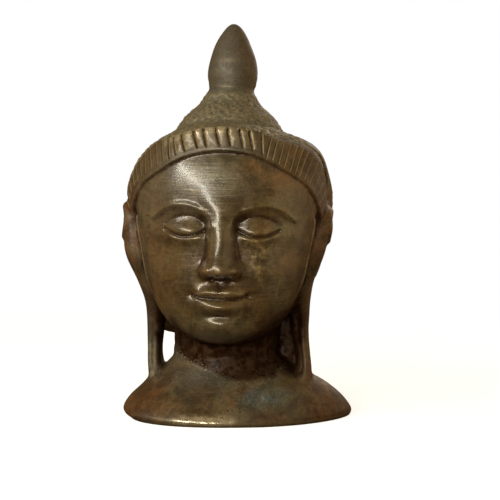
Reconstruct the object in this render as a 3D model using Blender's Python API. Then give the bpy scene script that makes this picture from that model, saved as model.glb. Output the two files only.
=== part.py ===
"""A small cast bronze head: bud finial, fluted hair band, long pierced ears and a flared foot.

The casting is one solid. Its height is divided into 120 parts, and every size below except
HEIGHT is counted in those parts. The face looks to -Y and the foot stands on z = 0.
Rough forms are fused into one skin, which is then carved, thinned out and cut level.
"""

import math

import bmesh
import bpy
import numpy as np
from mathutils import Matrix
from mathutils.kdtree import KDTree

HEIGHT = 0.120
GRAIN = 0.5
FACETS = 9400
AROUND = 72
BETWEEN = 4
SOFT_PASSES = 15
CRISP_PASSES = 3
SOFTENING = 0.5
SHARP_ANGLE = 40.0

# Head and hair: height, half width, front and back of each level
HEAD_ROWS = (
    (23.0, 6.0, -17.0, 4.0),
    (24.6, 11.0, -22.6, 9.0),
    (28.0, 16.2, -26.6, 14.0),
    (33.0, 20.2, -27.6, 18.5),
    (38.0, 22.8, -27.4, 22.0),
    (44.0, 25.2, -27.4, 25.5),
    (51.0, 27.2, -27.7, 28.5),
    (58.0, 28.5, -28.6, 30.3),
    (65.0, 28.9, -29.0, 31.2),
    (72.0, 28.2, -28.3, 30.4),
    (79.0, 25.4, -26.2, 27.0),
    (84.0, 21.0, -21.0, 21.5),
    (87.0, 14.0, -13.5, 15.0),
)
HAIR_ROWS = (
    (22.4, 12.0, 9.0, 19.0),
    (23.8, 21.5, 7.5, 22.0),
    (27.6, 23.8, 6.5, 24.0),
    (36.0, 23.6, 5.5, 25.5),
    (43.0, 24.6, 3.0, 29.0),
    (50.0, 28.0, -1.0, 31.8),
    (58.0, 31.2, -6.0, 33.4),
    (66.0, 32.4, -10.0, 33.6),
    (73.0, 31.4, -15.0, 32.0),
    (79.0, 28.0, -19.5, 28.6),
    (83.6, 22.0, -23.0, 24.0),
    (86.6, 16.0, -21.4, 19.0),
    (88.4, 11.0, -14.5, 13.0),
)
HEAD_SQUARENESS = 2.05

# The hair is fuller above the ears: middle of each swelling, its reach and how far it stands out
HAIR_FULLER = (
    ((25.0, -4.0, 80.6), (9.0, 16.0, 5.4), 2.0),
    ((-32.0, -4.0, 68.0), (8.0, 16.0, 5.0), 1.3),
)

# Neck: height, half width, front and back of each level
NECK_ROWS = (
    (8.0, 17.0, -13.0, 14.5),
    (14.0, 16.6, -12.4, 15.8),
    (20.0, 16.3, -11.6, 17.0),
    (27.0, 16.3, -12.5, 18.2),
    (36.0, 17.5, -14.0, 20.0),
)
NECK_SQUARENESS = 2.0

# Foot: height, half length, half depth and sideways shift of each level
FOOT_ROWS = (
    (-3.0, 32.9, 20.0, 5.3),
    (0.0, 34.4, 21.2, 5.5),
    (1.6, 35.8, 21.8, 4.7),
    (5.3, 33.4, 20.0, 4.3),
    (9.0, 29.4, 17.0, 4.1),
    (12.0, 25.6, 14.0, 3.0),
    (15.5, 19.4, 11.4, 1.2),
    (20.0, 15.0, 9.4, 0.2),
)
FOOT_TURN = 15.5
FOOT_TURN_ENDS = FOOT_ROWS[-1][0]
FOOT_BLUNT_END = 2.5
FOOT_KEEN_END = 1.7

# Topknot and finial: radius and height, from below
KNOT_PROFILE = (
    (0.0, 80.0),
    (20.0, 81.0),
    (17.8, 85.6),
    (16.0, 88.2),
    (14.0, 91.0),
    (11.8, 93.2),
    (9.8, 95.0),
    (8.6, 96.6),
    (7.9, 98.2),
    (7.1, 99.7),
    (7.4, 101.8),
    (7.8, 104.6),
    (7.5, 107.8),
    (6.7, 110.8),
    (5.6, 113.8),
    (4.2, 116.8),
    (2.6, 119.2),
    (1.1, 120.5),
    (0.0, 120.8),
)
KNOT_BACK = 1.5
KNOT_LEAN = (-0.2, 0.6, 98.6, 101.4)
FINIAL_LINES = ((100.2, 0.8, -0.15), (102.4, 0.7, -0.05))

# Hair band: its lower and upper edge, from the middle of the forehead to one ear
BAND_LOWER = (
    (0.0, -27.3, 79.2),
    (11.0, -25.4, 77.4),
    (18.5, -21.8, 73.8),
    (25.2, -15.0, 69.2),
    (28.4, -8.6, 62.8),
    (29.6, -4.6, 56.0),
)
BAND_UPPER = (
    (0.0, -26.4, 86.6),
    (8.0, -25.2, 86.1),
    (15.0, -20.4, 84.4),
    (22.8, -11.6, 81.9),
    (29.8, -0.6, 74.6),
    (30.4, 2.4, 61.0),
)
BAND_THICK = 5.0
BAND_ROUND = 0.06
BAND_HEART = (0.0, 0.0, 62.0)
BAND_PLAIN = 0.15
BAND_PLAIN_ENDS = (9.0, 13.0)
BAND_LINE = (0.05, -0.25)
BAND_STEP = 0.25
BAND_SHOULDER = (0.72, 1.0, -0.7)
UNDER_BAND = (0.35, 0.25, -0.2)
BAND_STEP_FROM = (63.0, 72.0)
BAND_STEP_TO = (7.0, 13.0)
CHAMFER = (0.75, 0.92)
CHAMFER_FROM = (7.0, 13.0)
CUTS_FADE = (20.0, 25.0)
CUTS_FAINTER = 0.6
CUT_RUNS_IN = 1.4
CUT_DEPTHS = (0.6, 0.4)
MOSTLY = 0.8
BAND_SAMPLES = 40

# Hand-cut notches: where each one crosses the middle of the band in front, and its lean in degrees
CUTS = (
    (-24.3, 14.0, "fine"),
    (-22.3, 13.0, "fine"),
    (-20.2, 12.0, "fine"),
    (-18.2, 10.0, "fine"),
    (-16.1, 9.0, "deep"),
    (-14.3, 13.0, "fine"),
    (-11.7, 17.0, "deep"),
    (-8.0, 18.0, "deep"),
    (-5.3, 14.0, "deep"),
    (-1.6, 16.0, "deep"),
    (1.6, 12.0, "deep"),
    (5.1, 12.0, "deep"),
    (7.9, 12.0, "deep"),
    (10.9, 5.0, "fine"),
    (12.9, -12.0, "fine"),
    (14.5, -12.0, "fine"),
    (16.3, -12.0, "fine"),
    (18.0, -13.0, "fine"),
    (19.8, -14.0, "fine"),
    (21.4, -16.0, "fine"),
    (22.7, -18.0, "fine"),
)
CUT_KINDS = {"deep": (0.6, 0.95, 1.2), "fine": (0.6, 0.6, 0.7), "flank": (0.6, 0.6, 0.5)}
FLANK_FOCUS = 8.0
FLANK_STEP = 1.5
FLANK_END = 32.0

# Ears: height, outer face, half thickness, middle of the depth and half depth of each level
EAR_ROWS = (
    (66.0, 31.0, 2.4, 4.0, 4.0),
    (63.0, 31.9, 3.6, 2.6, 7.6),
    (57.5, 31.8, 4.4, 1.2, 9.6),
    (52.0, 32.0, 4.6, 0.6, 9.8),
    (47.7, 31.0, 4.5, 0.4, 9.2),
    (44.0, 29.3, 4.2, 0.4, 8.0),
    (40.0, 27.5, 3.8, 0.5, 6.6),
    (35.0, 25.9, 3.2, 0.6, 5.2),
    (30.0, 25.2, 2.9, 0.6, 4.4),
    (24.5, 24.9, 2.5, 0.5, 4.6),
    (20.0, 24.7, 2.2, 0.4, 5.2),
    (16.0, 24.5, 2.3, 0.2, 6.0),
    (12.0, 24.0, 2.8, 0.0, 7.0),
    (8.0, 23.8, 3.6, 0.0, 8.0),
)
EAR_SQUARENESS = 2.6
LOBE_SHIFT = 0.6
LOBE_FROM = 30.0
LOBE_TO = 46.0
RIGHT_SLIMMER = (46.5, 10.5, 1.8)
RIGHT_FULLER = (58.2, 2.8, 0.95)
RIGHT_FLARE = (28.0, 6.0, 2.7)

# Behind the lobe on the right a wall of metal closes the gap: height, half width, front and back
RIGHT_WALL = (
    (8.0, 6.0, 3.0, 9.0),
    (14.0, 5.0, 3.2, 8.6),
    (22.0, 4.8, 3.6, 8.6),
    (30.0, 4.6, 4.4, 9.4),
    (37.0, 3.6, 7.0, 11.0),
)
RIGHT_WALL_OUT = 19.0

# Face, by the classical canon: three equal thirds from hairline to chin, five eyes across
CHIN = 25.4
THIRD = (BAND_LOWER[0][2] - CHIN) / 3
NOSE_BASE = CHIN + THIRD
BROW = CHIN + 2 * THIRD
MOUTH = NOSE_BASE - THIRD / 3
FACE_WIDTH = 50.0
EYE = FACE_WIDTH / 5
EYES = BROW - 0.28 * THIRD
FACE_FRONT = (8.0, 14.0)

# Nose: share of the middle third from below, half width and how far it stands out there
NOSE_ROWS = (
    (0.0, 5.6, 6.0),
    (0.1, 6.0, 7.0),
    (0.2, 5.7, 6.8),
    (0.36, 5.0, 5.4),
    (0.6, 4.6, 4.0),
    (0.85, 4.8, 2.7),
    (1.05, 5.8, 1.5),
    (1.3, 7.0, 0.4),
    (1.5, 8.5, 0.0),
)
NOSE_UNDER = 1.2
NOSE_FULLNESS = 1.3

# Swellings of the face: middle across and up, reach across and up, how far each stands out
FACE_SWELLINGS = {
    "eyelid": (EYE + 0.3, EYES + 0.7, 5.6, 3.4, 2.0),
    "wing of the nose": (4.3, NOSE_BASE + 1.9, 1.7, 1.8, 2.4),
    "nostril": (2.1, NOSE_BASE - 0.3, 1.1, 0.8, -1.5),
    "eye socket": (EYE, BROW - 2.2, 7.5, 2.8, -1.5),
    "inner corner": (EYE / 2, EYES + 0.8, 2.4, 3.0, -1.2),
    "round of the mouth": (0.0, MOUTH - 0.5, 9.0, 6.5, 1.6),
    "upper lip": (2.2, MOUTH + 1.6, 3.6, 1.35, 1.4),
    "lower lip": (0.0, MOUTH - 2.3, 4.8, 1.8, 2.0),
    "corner of the mouth": (8.0, MOUTH + 0.7, 1.3, 1.3, -0.6),
    "hollow under the lip": (0.0, MOUTH - 4.9, 4.5, 1.3, -0.9),
    "chin": (0.0, CHIN + 3.6, 5.2, 3.6, 1.5),
    "cheek": (13.0, NOSE_BASE + 1.5, 6.5, 7.0, 1.2),
}

# Lines of the face: start of the path across and up, its points from there, half width, height
AT_BROW = (0.0, BROW)
AT_EYE = (EYE, EYES)
AT_MOUTH = (0.0, MOUTH)
FACE_LINES = {
    "brow": (AT_BROW, ((2.7, -3.6), (3.7, -0.8), (7.0, 1.4), (11.5, 2.5), (16.5, 1.7), (20.5, -1.0)), 0.9, 0.6),
    "lid fold": (AT_EYE, ((-4.4, 2.7), (-2.2, 4.0), (0.4, 4.5), (3.4, 3.9), (6.2, 2.2)), 0.7, -0.25),
    "shut lid": (AT_EYE, ((-5.3, 0.3), (-2.8, -0.9), (0, -1.5), (3.1, -1.1), (6.3, 0.5)), 0.5, -0.9),
    "lower lid": (AT_EYE, ((-4.0, -1.8), (-2.0, -2.6), (0.2, -2.9), (2.6, -2.5), (4.8, -1.5)), 0.9, 0.25),
    "edge of the lip": (AT_MOUTH, ((0, 1.9), (1.9, 2.5), (4.4, 1.7), (7.0, 0.8)), 0.6, 0.35),
    "parting of the lips": (AT_MOUTH, ((0, -0.3), (2.6, -0.1), (5.2, 0.1), (7.6, 0.8)), 0.45, -1.0),
    "groove above the lip": (AT_MOUTH, ((0, 3.2), (0, 4.4), (0, 5.4)), 1.0, -0.4),
}

# Edge of the face from temple to chin, and the side of the head falling away behind it
FACE_EDGE = (
    (26.4, -11.5, 60.0),
    (25.8, -11.0, 52.0),
    (23.8, -10.8, 44.0),
    (20.6, -11.6, 37.0),
    (16.4, -14.0, 31.0),
    (11.0, -18.5, 27.0),
)
FACE_EDGE_LINE = (0.65, 0.7)
FACE_SIDE_BEHIND = (0.0, 3.4, 0.6)
FACE_SIDE_LINE = (2.2, -0.6)

# Ear: rim and hollow as depth and height, and the channel down the front of the lobe in space
EAR_RIM = (
    (-3.4, 54.0),
    (-5.4, 58.5),
    (-2.5, 62.6),
    (3.2, 63.0),
    (7.6, 59.5),
    (8.4, 53.5),
    (6.4, 47.5),
    (3.4, 43.0),
)
EAR_RIM_LINE = (1.1, 0.7)
EAR_HOLLOW = (1.0, 53.5, 3.2, 4.8, -1.7)
EAR_FROM_AXIS = (26.0, 28.0)
EAR_FROM_FRONT = (-8.5, -7.0)
LEFT_CHANNEL = ((-23.0, -4.6, 31.0), (-22.7, -4.6, 24.0), (-22.5, -5.0, 18.0), (-21.6, -6.4, 12.5))
LEFT_CHANNEL_LINE = (1.0, -0.8)
RIGHT_CHANNEL = ((21.6, -4.4, 34.0), (21.5, -4.4, 26.0), (22.1, -4.8, 19.0), (23.0, -5.6, 14.0))
RIGHT_CHANNEL_LINE = (1.6, -1.5)
CHANNELS_FADE = ((11.0, 17.0), (28.0, 35.0))

# Folds of the neck: their heights, how they sag to the sides and where they fade out
NECK_FOLDS = (22.2, 18.8)
NECK_LINE = (1.2, -0.2)
NECK_SAG = 0.004
NECK_FADE = (17.0, 20.0)


def between(rows, steps=BETWEEN):
    """Rows with so many steps from each given row to the next, on a smooth curve through all."""
    rows = np.array(rows, float)
    ends = np.vstack([2 * rows[0] - rows[1], rows, 2 * rows[-1] - rows[-2]])
    filled = []
    for before, start, end, after in zip(ends, ends[1:], ends[2:], ends[3:]):
        for step in range(steps):
            t = step / steps
            pull = (end - before) * t
            bend = (2 * before - 5 * start + 4 * end - after) * t**2
            turn = (3 * start - before - 3 * end + after) * t**3
            filled.append(start + 0.5 * (pull + bend + turn))
    return np.array([*filled, rows[-1]])


def ease(value, start, end):
    """Rises smoothly from 0 at start to 1 at end."""
    share = np.clip((value - start) / (end - start), 0, 1)
    return share * share * (3 - 2 * share)


def oval(half_width, half_depth, squareness):
    """Points round a level, squarer than an ellipse where squareness is over 2."""
    angle = np.linspace(0, 2 * math.pi, AROUND, endpoint=False)
    across, along = np.cos(angle), np.sin(angle)
    x = half_width * np.sign(across) * np.abs(across) ** (2 / squareness)
    y = half_depth * np.sign(along) * np.abs(along) ** (2 / squareness)
    return x, y


def level(x, y, z):
    return np.column_stack([x, y, np.full(len(x), z)])


def loft(rings):
    """A closed skin through rings of points: a loop extruded from ring to ring, its ends filled."""
    bm = bmesh.new()
    first = bmesh.ops.create_circle(bm, segments=len(rings[0]), radius=1)["verts"]
    ring = first
    for points in rings:
        if points is not rings[0]:
            ring = next_ring(bm, ring)
        for corner, point in zip(ring, points):
            corner.co = point
    bmesh.ops.contextual_create(bm, geom=first)
    bmesh.ops.contextual_create(bm, geom=ring)
    bmesh.ops.recalc_face_normals(bm, faces=bm.faces)
    return bm


def next_ring(bm, ring):
    """Extrudes a loop and returns the new loop's corners in the order of the old one's."""
    edges = {edge for corner in ring for edge in corner.link_edges if set(edge.verts) <= set(ring)}
    grown = bmesh.ops.extrude_edge_only(bm, edges=list(edges))["geom"]
    new = {part for part in grown if isinstance(part, bmesh.types.BMVert)}
    partners = [[edge.other_vert(corner) for edge in corner.link_edges] for corner in ring]
    return [next(partner for partner in found if partner in new) for found in partners]


def upright(rows, squareness):
    """A form of oval levels, each with its own half width, front and back."""
    rings = []
    for z, half_width, front, back in between(rows):
        x, y = oval(half_width, (back - front) / 2, squareness)
        rings.append(level(x, y + (front + back) / 2, z))
    return loft(rings)


def foot():
    """A boat-shaped foot: one end blunt, the other keen, turned until it meets the neck."""
    rings = []
    for z, half_length, half_depth, shift in between(FOOT_ROWS):
        fade = min(1.0, max(0.0, 1 - z / FOOT_TURN_ENDS))
        keen_x, keen_y = oval(half_length, half_depth, 2 + (FOOT_KEEN_END - 2) * fade)
        blunt_x, blunt_y = oval(half_length, half_depth, 2 + (FOOT_BLUNT_END - 2) * fade)
        x, y = np.where(keen_x < 0, blunt_x, keen_x), np.where(keen_x < 0, blunt_y, keen_y)
        turn = math.radians(FOOT_TURN * fade)
        along = x * math.cos(turn) - y * math.sin(turn) + shift
        across = x * math.sin(turn) + y * math.cos(turn)
        rings.append(level(along, across, z))
    return loft(rings)


def knot():
    """Topknot and finial, turned about an upright axis."""
    bm = bmesh.new()
    profile = [bm.verts.new((radius, KNOT_BACK, z)) for radius, z in between(KNOT_PROFILE)]
    edges = [bm.edges.new(pair) for pair in zip(profile, profile[1:])]
    bmesh.ops.spin(
        bm,
        geom=profile + edges,
        cent=(0, KNOT_BACK, 0),
        axis=(0, 0, 1),
        angle=2 * math.pi,
        steps=AROUND,
        use_merge=True,
    )
    bmesh.ops.remove_doubles(bm, verts=bm.verts, dist=GRAIN / 100)
    bmesh.ops.recalc_face_normals(bm, faces=bm.faces)
    below, step, start, end = KNOT_LEAN
    for corner in bm.verts:
        corner.co.x += below + step * ease(corner.co.z, start, end)
    return bm


def ear(side):
    """An ear that runs down into a long flat lobe, on the side of +X or -X."""
    rings = []
    for z, outer, half_thick, middle, half_depth in between(EAR_ROWS):
        x, y = oval(half_thick, half_depth, EAR_SQUARENESS)
        shift = LOBE_SHIFT * (1 - ease(z, LOBE_FROM, LOBE_TO))
        if side > 0:
            start, end, flare = RIGHT_FLARE
            shift += flare * (1 - ease(z, end, start))
            shift += crossing(z, *RIGHT_FULLER) - crossing(z, *RIGHT_SLIMMER)
        rings.append(level(side * (outer - half_thick + x) + shift, y + middle, z))
    return loft(rings)


def wall():
    """The wall between the right lobe and the neck."""
    bm = upright(RIGHT_WALL, HEAD_SQUARENESS)
    bmesh.ops.translate(bm, vec=(RIGHT_WALL_OUT, 0, 0), verts=bm.verts)
    return bm


def band_edges(steps=BETWEEN):
    """Lower and upper edge of the band from one ear over the forehead to the other."""
    edges = []
    for half in (BAND_LOWER, BAND_UPPER):
        other = np.array(half[:0:-1]) * (-1, 1, 1)
        edges.append(between([*other, *half], steps))
    return edges


def band():
    """A ribbon with a rounded face, laid round the head from ear to ear."""
    rings = []
    for low, high in zip(*band_edges()):
        middle = (low + high) / 2
        inward = np.array(BAND_HEART) - middle
        inward *= BAND_THICK / np.linalg.norm(inward)
        proud = middle - inward * BAND_ROUND
        rings.append(np.array([low, proud, high, high + inward, low + inward]))
    return loft(rings)


def fuse(name, forms, passes):
    """Joins the forms into one skin of even grain and softens where they meet."""
    mesh = bpy.data.meshes.new(name)
    joined = bmesh.new()
    for form in forms:
        form.to_mesh(mesh)
        joined.from_mesh(mesh)
        form.free()
    joined.to_mesh(mesh)
    joined.free()
    obj = bpy.data.objects.new(name, mesh)
    bpy.context.scene.collection.objects.link(obj)
    remesh = obj.modifiers.new("Grain", "REMESH")
    remesh.mode = "VOXEL"
    remesh.voxel_size = GRAIN
    soften = obj.modifiers.new("Soften", "SMOOTH")
    soften.iterations = passes
    soften.factor = SOFTENING
    settle(obj)
    return obj


def settle(obj):
    """Replaces the object's mesh with what its modifiers make of it."""
    graph = bpy.context.evaluated_depsgraph_get()
    mesh = bpy.data.meshes.new_from_object(obj.evaluated_get(graph))
    obj.modifiers.clear()
    obj.data = mesh


def as_form(obj):
    """Takes an object's mesh back as a form and removes the object."""
    bm = bmesh.new()
    bm.from_mesh(obj.data)
    bpy.data.objects.remove(obj)
    return bm


def swelling(at, across, up, reach_across, reach_up, height):
    """A soft swelling, fading out beyond its reach."""
    away = (at - (across, up)) / (reach_across, reach_up)
    return height * np.exp(-(away**2).sum(axis=1))


def blot(points, middle, reach):
    """A soft spot on the surface, 1 in its middle."""
    away = (points - middle) / reach
    return np.exp(-(away**2).sum(axis=1))


def line(at, path, half_width, height):
    """A ridge or groove along a path, rounded across."""
    nearest = np.full(len(at), np.inf)
    path = between(path)
    for start, end in zip(path, path[1:]):
        along = end - start
        share = np.clip((at - start) @ along / (along @ along), 0, 1)
        away = at - start - share[:, None] * along
        nearest = np.minimum(nearest, (away**2).sum(axis=1))
    return height * np.exp(-nearest / half_width**2)


def crossing(value, middle, half_width, height):
    """A ridge or groove where the value passes its middle."""
    return height * np.exp(-(((value - middle) / half_width) ** 2))


def mirrored(points):
    """The points with both sides folded onto one, so that a cut lands on either side alike."""
    return np.column_stack([np.abs(points[:, 0]), points[:, 1], points[:, 2]])


def nose(at):
    """Bridge and tip, from the base up to the root between the brows."""
    shares, widths, heights = np.transpose(between(NOSE_ROWS))
    up = (at[:, 1] - NOSE_BASE) / THIRD
    off = at[:, 0] / np.interp(up, shares, widths)
    round_off = np.clip(1 - off**2, 0, 1) ** NOSE_FULLNESS
    above_base = ease(at[:, 1], NOSE_BASE - NOSE_UNDER, NOSE_BASE + NOSE_UNDER)
    return np.interp(up, shares, heights) * round_off * above_base


def face(points):
    """How far the carved face stands out in front of the plain head."""
    at = mirrored(points)[:, [0, 2]]
    proud = nose(at)
    for sizes in FACE_SWELLINGS.values():
        proud += swelling(at, *sizes)
    for start, path, half_width, height in FACE_LINES.values():
        proud += line(at, np.array(path) + start, half_width, height)
    return proud * ease(-points[:, 1], *FACE_FRONT)


def fuller(points):
    """Swellings of the hair above the ears, not alike on the two sides."""
    return sum(height * blot(points, middle, reach) for middle, reach, height in HAIR_FULLER)


def face_edge(points):
    """A crisp line from temple to chin, with the side of the head falling away behind it."""
    at = mirrored(points)
    behind = np.array(FACE_EDGE) + FACE_SIDE_BEHIND
    return line(at, FACE_EDGE, *FACE_EDGE_LINE) + line(at, behind, *FACE_SIDE_LINE)


def ears(points):
    """Rim and hollow of each ear, and the channel down the front of each lobe."""
    at = mirrored(points)
    side = at[:, 1:]
    rim = line(side, EAR_RIM, *EAR_RIM_LINE)
    hollow = swelling(side, *EAR_HOLLOW) * (1 - rim / EAR_RIM_LINE[1])
    on_ear = ease(at[:, 0], *EAR_FROM_AXIS) * ease(at[:, 1], *EAR_FROM_FRONT)
    channels = line(points, LEFT_CHANNEL, *LEFT_CHANNEL_LINE)
    channels += line(points, RIGHT_CHANNEL, *RIGHT_CHANNEL_LINE)
    from_foot, to_ear = CHANNELS_FADE
    channels *= ease(points[:, 2], *from_foot) * (1 - ease(points[:, 2], *to_ear))
    return on_ear * (rim + hollow) + channels


def neck_folds(points):
    """Soft folds round the neck that sag to the sides."""
    x, z = points[:, 0], points[:, 2]
    folds = sum(crossing(z + NECK_SAG * x**2, fold, *NECK_LINE) for fold in NECK_FOLDS)
    return folds * (1 - ease(np.abs(x), *NECK_FADE))


def finial_lines(points):
    """Fine lines turned round the finial and its foot."""
    return sum(crossing(points[:, 2], *sizes) for sizes in FINIAL_LINES)


def notches():
    """Middle in front view, lean, half width below and above, and depth of each cut."""
    low, high = band_edges()
    middle = (low + high) / 2
    found = []
    for x, lean, kind in CUTS:
        z = np.interp(x, middle[:, 0], middle[:, 2])
        found.append((x, z, math.radians(lean), *CUT_KINDS[kind]))
    turns = np.degrees(np.arctan2(middle[:, 0], middle[:, 2] - FLANK_FOCUS))
    ends = [np.interp(cut[0], middle[:, 0], turns) for cut in (CUTS[0], CUTS[-1])]
    flanks = list(np.arange(ends[1] + FLANK_STEP, FLANK_END, FLANK_STEP))
    flanks += list(np.arange(ends[0] - FLANK_STEP, -FLANK_END, -FLANK_STEP))
    for turn in flanks:
        x, z = (np.interp(turn, turns, middle[:, axis]) for axis in (0, 2))
        found.append((x, z, math.radians(-turn), *CUT_KINDS["flank"]))
    return found


def across_band(points):
    """How far across the band each point lies, 0 at its lower edge and 1 at its upper, -1 off it,
    and how far each point on the skin just under the band is from its lower edge."""
    low, high = band_edges(BAND_SAMPLES)
    shares = np.linspace(0, 1, BAND_SAMPLES)
    tree = KDTree(len(low) * BAND_SAMPLES)
    for row, share in enumerate(shares):
        for column, point in enumerate(low + (high - low) * share):
            tree.insert(point, row * len(low) + column)
    tree.balance()
    across = np.full(len(points), -1.0)
    under = np.full(len(points), BAND_THICK)
    ahead = (points[:, 2] > BAND_LOWER[-1][2]) & (points[:, 1] < BAND_UPPER[-1][1])
    for index in np.nonzero(ahead)[0]:
        spot, found, away = tree.find(points[index])
        if found < len(low) and points[index][2] < spot[2] and away < BAND_THICK / 2:
            under[index] = away
        elif away < BAND_THICK / 3:
            across[index] = shares[found // len(low)]
    return across, under


def beside_cuts(x, z):
    """How far to the right of each cut, from left to right, the points lie."""
    cuts = np.array(sorted(notches()))
    off = [(x - at) * math.cos(lean) + (z - up) * math.sin(lean) for at, up, lean, *_ in cuts]
    return cuts, np.array(off)


def cut_strength(x, share):
    """How deep the cuts go in: none on the plain edge, and faint on the far right."""
    plain = BAND_PLAIN * (1 - MOSTLY * ease(x, *BAND_PLAIN_ENDS))
    chamfer = ease(share, *CHAMFER) * ease(x, *CHAMFER_FROM)
    faint = 1 - CUTS_FAINTER * ease(x, *CUTS_FADE)
    return ease(share, plain, CUT_RUNS_IN * plain) * (1 - chamfer) * faint


def flutes(points, across, under):
    """The band stepped up from the forehead, the cuts across it and the line that ends them."""
    on_band = across >= 0
    x, z, share = points[on_band, 0], points[on_band, 2], across[on_band]
    deepest = np.zeros(len(x))
    for (*_, low_width, high_width, depth), off in zip(*beside_cuts(x, z)):
        width = low_width + (high_width - low_width) * share
        here = depth * (CUT_DEPTHS[0] + CUT_DEPTHS[1] * share)
        deepest = np.maximum(deepest, here * np.clip(1 - np.abs(off) / width, 0, 1))
    stepped = ease(points[:, 2], *BAND_STEP_FROM)
    stepped *= 1 - MOSTLY * ease(points[:, 0], *BAND_STEP_TO)
    carved = stepped * crossing(under, *UNDER_BAND)
    line_left = crossing(share, BAND_PLAIN, *BAND_LINE) * (1 - ease(x, *BAND_PLAIN_ENDS))
    start, end, height = BAND_SHOULDER
    carved[on_band] = stepped[on_band] * (BAND_STEP + line_left) + height * ease(share, start, end) ** 2
    carved[on_band] -= deepest * cut_strength(x, share)
    return carved


def carve(obj):
    """Works the face forward out of the plain head, then cuts the rest square to the surface."""
    count = len(obj.data.vertices)
    points = np.empty(3 * count)
    obj.data.vertices.foreach_get("co", points)
    points = points.reshape(count, 3)
    points[:, 1] -= face(points)
    obj.data.vertices.foreach_set("co", points.ravel())
    obj.data.update()
    normals = np.empty(3 * count)
    obj.data.vertices.foreach_get("normal", normals)
    lift = face_edge(points) + ears(points) + neck_folds(points)
    lift += finial_lines(points) + flutes(points, *across_band(points)) + fuller(points)
    points += normals.reshape(count, 3) * lift[:, None]
    obj.data.vertices.foreach_set("co", points.ravel())
    obj.data.update()


def thin_out(obj):
    """Keeps only as many facets as the shape needs."""
    obj.data.calc_loop_triangles()
    decimate = obj.modifiers.new("Facets", "DECIMATE")
    decimate.ratio = min(1.0, FACETS / len(obj.data.loop_triangles))
    settle(obj)


def stand_flat(obj):
    """Cuts the foot off level at z = 0 and brings the whole to its height."""
    bm = bmesh.new()
    bm.from_mesh(obj.data)
    cut = bmesh.ops.bisect_plane(
        bm,
        geom=bm.verts[:] + bm.edges[:] + bm.faces[:],
        dist=GRAIN / 2,
        use_snap_center=True,
        plane_co=(0, 0, 0),
        plane_no=(0, 0, 1),
        clear_inner=True,
    )["geom_cut"]
    rim = [part for part in cut if isinstance(part, bmesh.types.BMEdge)]
    bmesh.ops.contextual_create(bm, geom=rim)
    bmesh.ops.recalc_face_normals(bm, faces=bm.faces)
    top = max(corner.co.z for corner in bm.verts)
    bmesh.ops.transform(bm, matrix=Matrix.Scale(HEIGHT / top, 4), verts=bm.verts)
    bm.to_mesh(obj.data)
    bm.free()


def bronze():
    """Dark brown bronze."""
    material = bpy.data.materials.new("bronze")
    material.use_nodes = True
    shader = material.node_tree.nodes["Principled BSDF"]
    shader.inputs["Base Color"].default_value = (0.10, 0.065, 0.035, 1)
    shader.inputs["Metallic"].default_value = 1.0
    shader.inputs["Roughness"].default_value = 0.42
    return material


def main():
    for obj in list(bpy.data.objects):
        bpy.data.objects.remove(obj)
    plain = [upright(HEAD_ROWS, HEAD_SQUARENESS), upright(HAIR_ROWS, HEAD_SQUARENESS)]
    plain += [upright(NECK_ROWS, NECK_SQUARENESS), foot(), knot(), ear(1), ear(-1), wall()]
    body = as_form(fuse("body", plain, SOFT_PASSES))
    head = fuse("buddha_head", [body, band()], CRISP_PASSES)
    carve(head)
    thin_out(head)
    stand_flat(head)
    head.data.materials.clear()
    head.data.materials.append(bronze())
    head.data.shade_smooth()
    head.data.set_sharp_from_angle(angle=math.radians(SHARP_ANGLE))


main()
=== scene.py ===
"""Small cast bronze head with a bud finial, fluted hair band, long ear lobes and a flared foot.

The casting, its patina and the stage that shows it are laid out as an add-on. Sizes of the
casting are counted in parts, 120 to its height. The face looks to -Y and the foot stands on z = 0.
"""

import math

import bmesh
import bpy
import numpy as np
from bpy.props import FloatProperty, FloatVectorProperty, IntProperty, PointerProperty
from mathutils import Matrix, Vector, noise
from mathutils.kdtree import KDTree


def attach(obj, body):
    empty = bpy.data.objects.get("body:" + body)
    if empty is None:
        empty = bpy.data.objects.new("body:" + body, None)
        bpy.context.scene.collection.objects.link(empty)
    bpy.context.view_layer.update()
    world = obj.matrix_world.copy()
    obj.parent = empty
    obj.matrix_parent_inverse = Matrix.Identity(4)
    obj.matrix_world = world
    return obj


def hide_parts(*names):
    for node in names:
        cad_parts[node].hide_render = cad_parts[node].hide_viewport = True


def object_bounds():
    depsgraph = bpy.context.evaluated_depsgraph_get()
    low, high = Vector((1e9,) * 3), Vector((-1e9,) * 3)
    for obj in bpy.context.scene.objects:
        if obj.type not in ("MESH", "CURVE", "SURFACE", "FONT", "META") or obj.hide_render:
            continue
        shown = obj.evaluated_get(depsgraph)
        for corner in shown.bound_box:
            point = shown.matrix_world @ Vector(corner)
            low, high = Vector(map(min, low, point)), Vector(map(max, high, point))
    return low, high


bl_info = {
    "name": "Bronze Bud-Finial Head",
    "version": (1, 0, 0),
    "blender": (4, 5, 0),
    "location": "View3D > Sidebar > Bronze Head",
    "description": "Casts a small bronze head, gives it an old brown patina and sets it on a stage",
    "category": "Object",
}

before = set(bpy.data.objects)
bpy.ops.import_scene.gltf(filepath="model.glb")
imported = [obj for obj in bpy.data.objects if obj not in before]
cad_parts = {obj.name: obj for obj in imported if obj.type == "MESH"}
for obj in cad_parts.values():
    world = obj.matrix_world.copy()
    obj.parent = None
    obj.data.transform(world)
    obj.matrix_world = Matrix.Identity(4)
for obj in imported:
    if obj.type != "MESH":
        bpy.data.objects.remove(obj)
CAD_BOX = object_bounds()
NODE = "buddha_head"
BODY = "root"
PIECE = "cast_head"
HEIGHT = CAD_BOX[1].z
PARTS = 120.0

# Points round a level, steps from one given level to the next, and how much a pass softens
AROUND = 96
BETWEEN = 5
SOFTENING = 0.5

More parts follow.
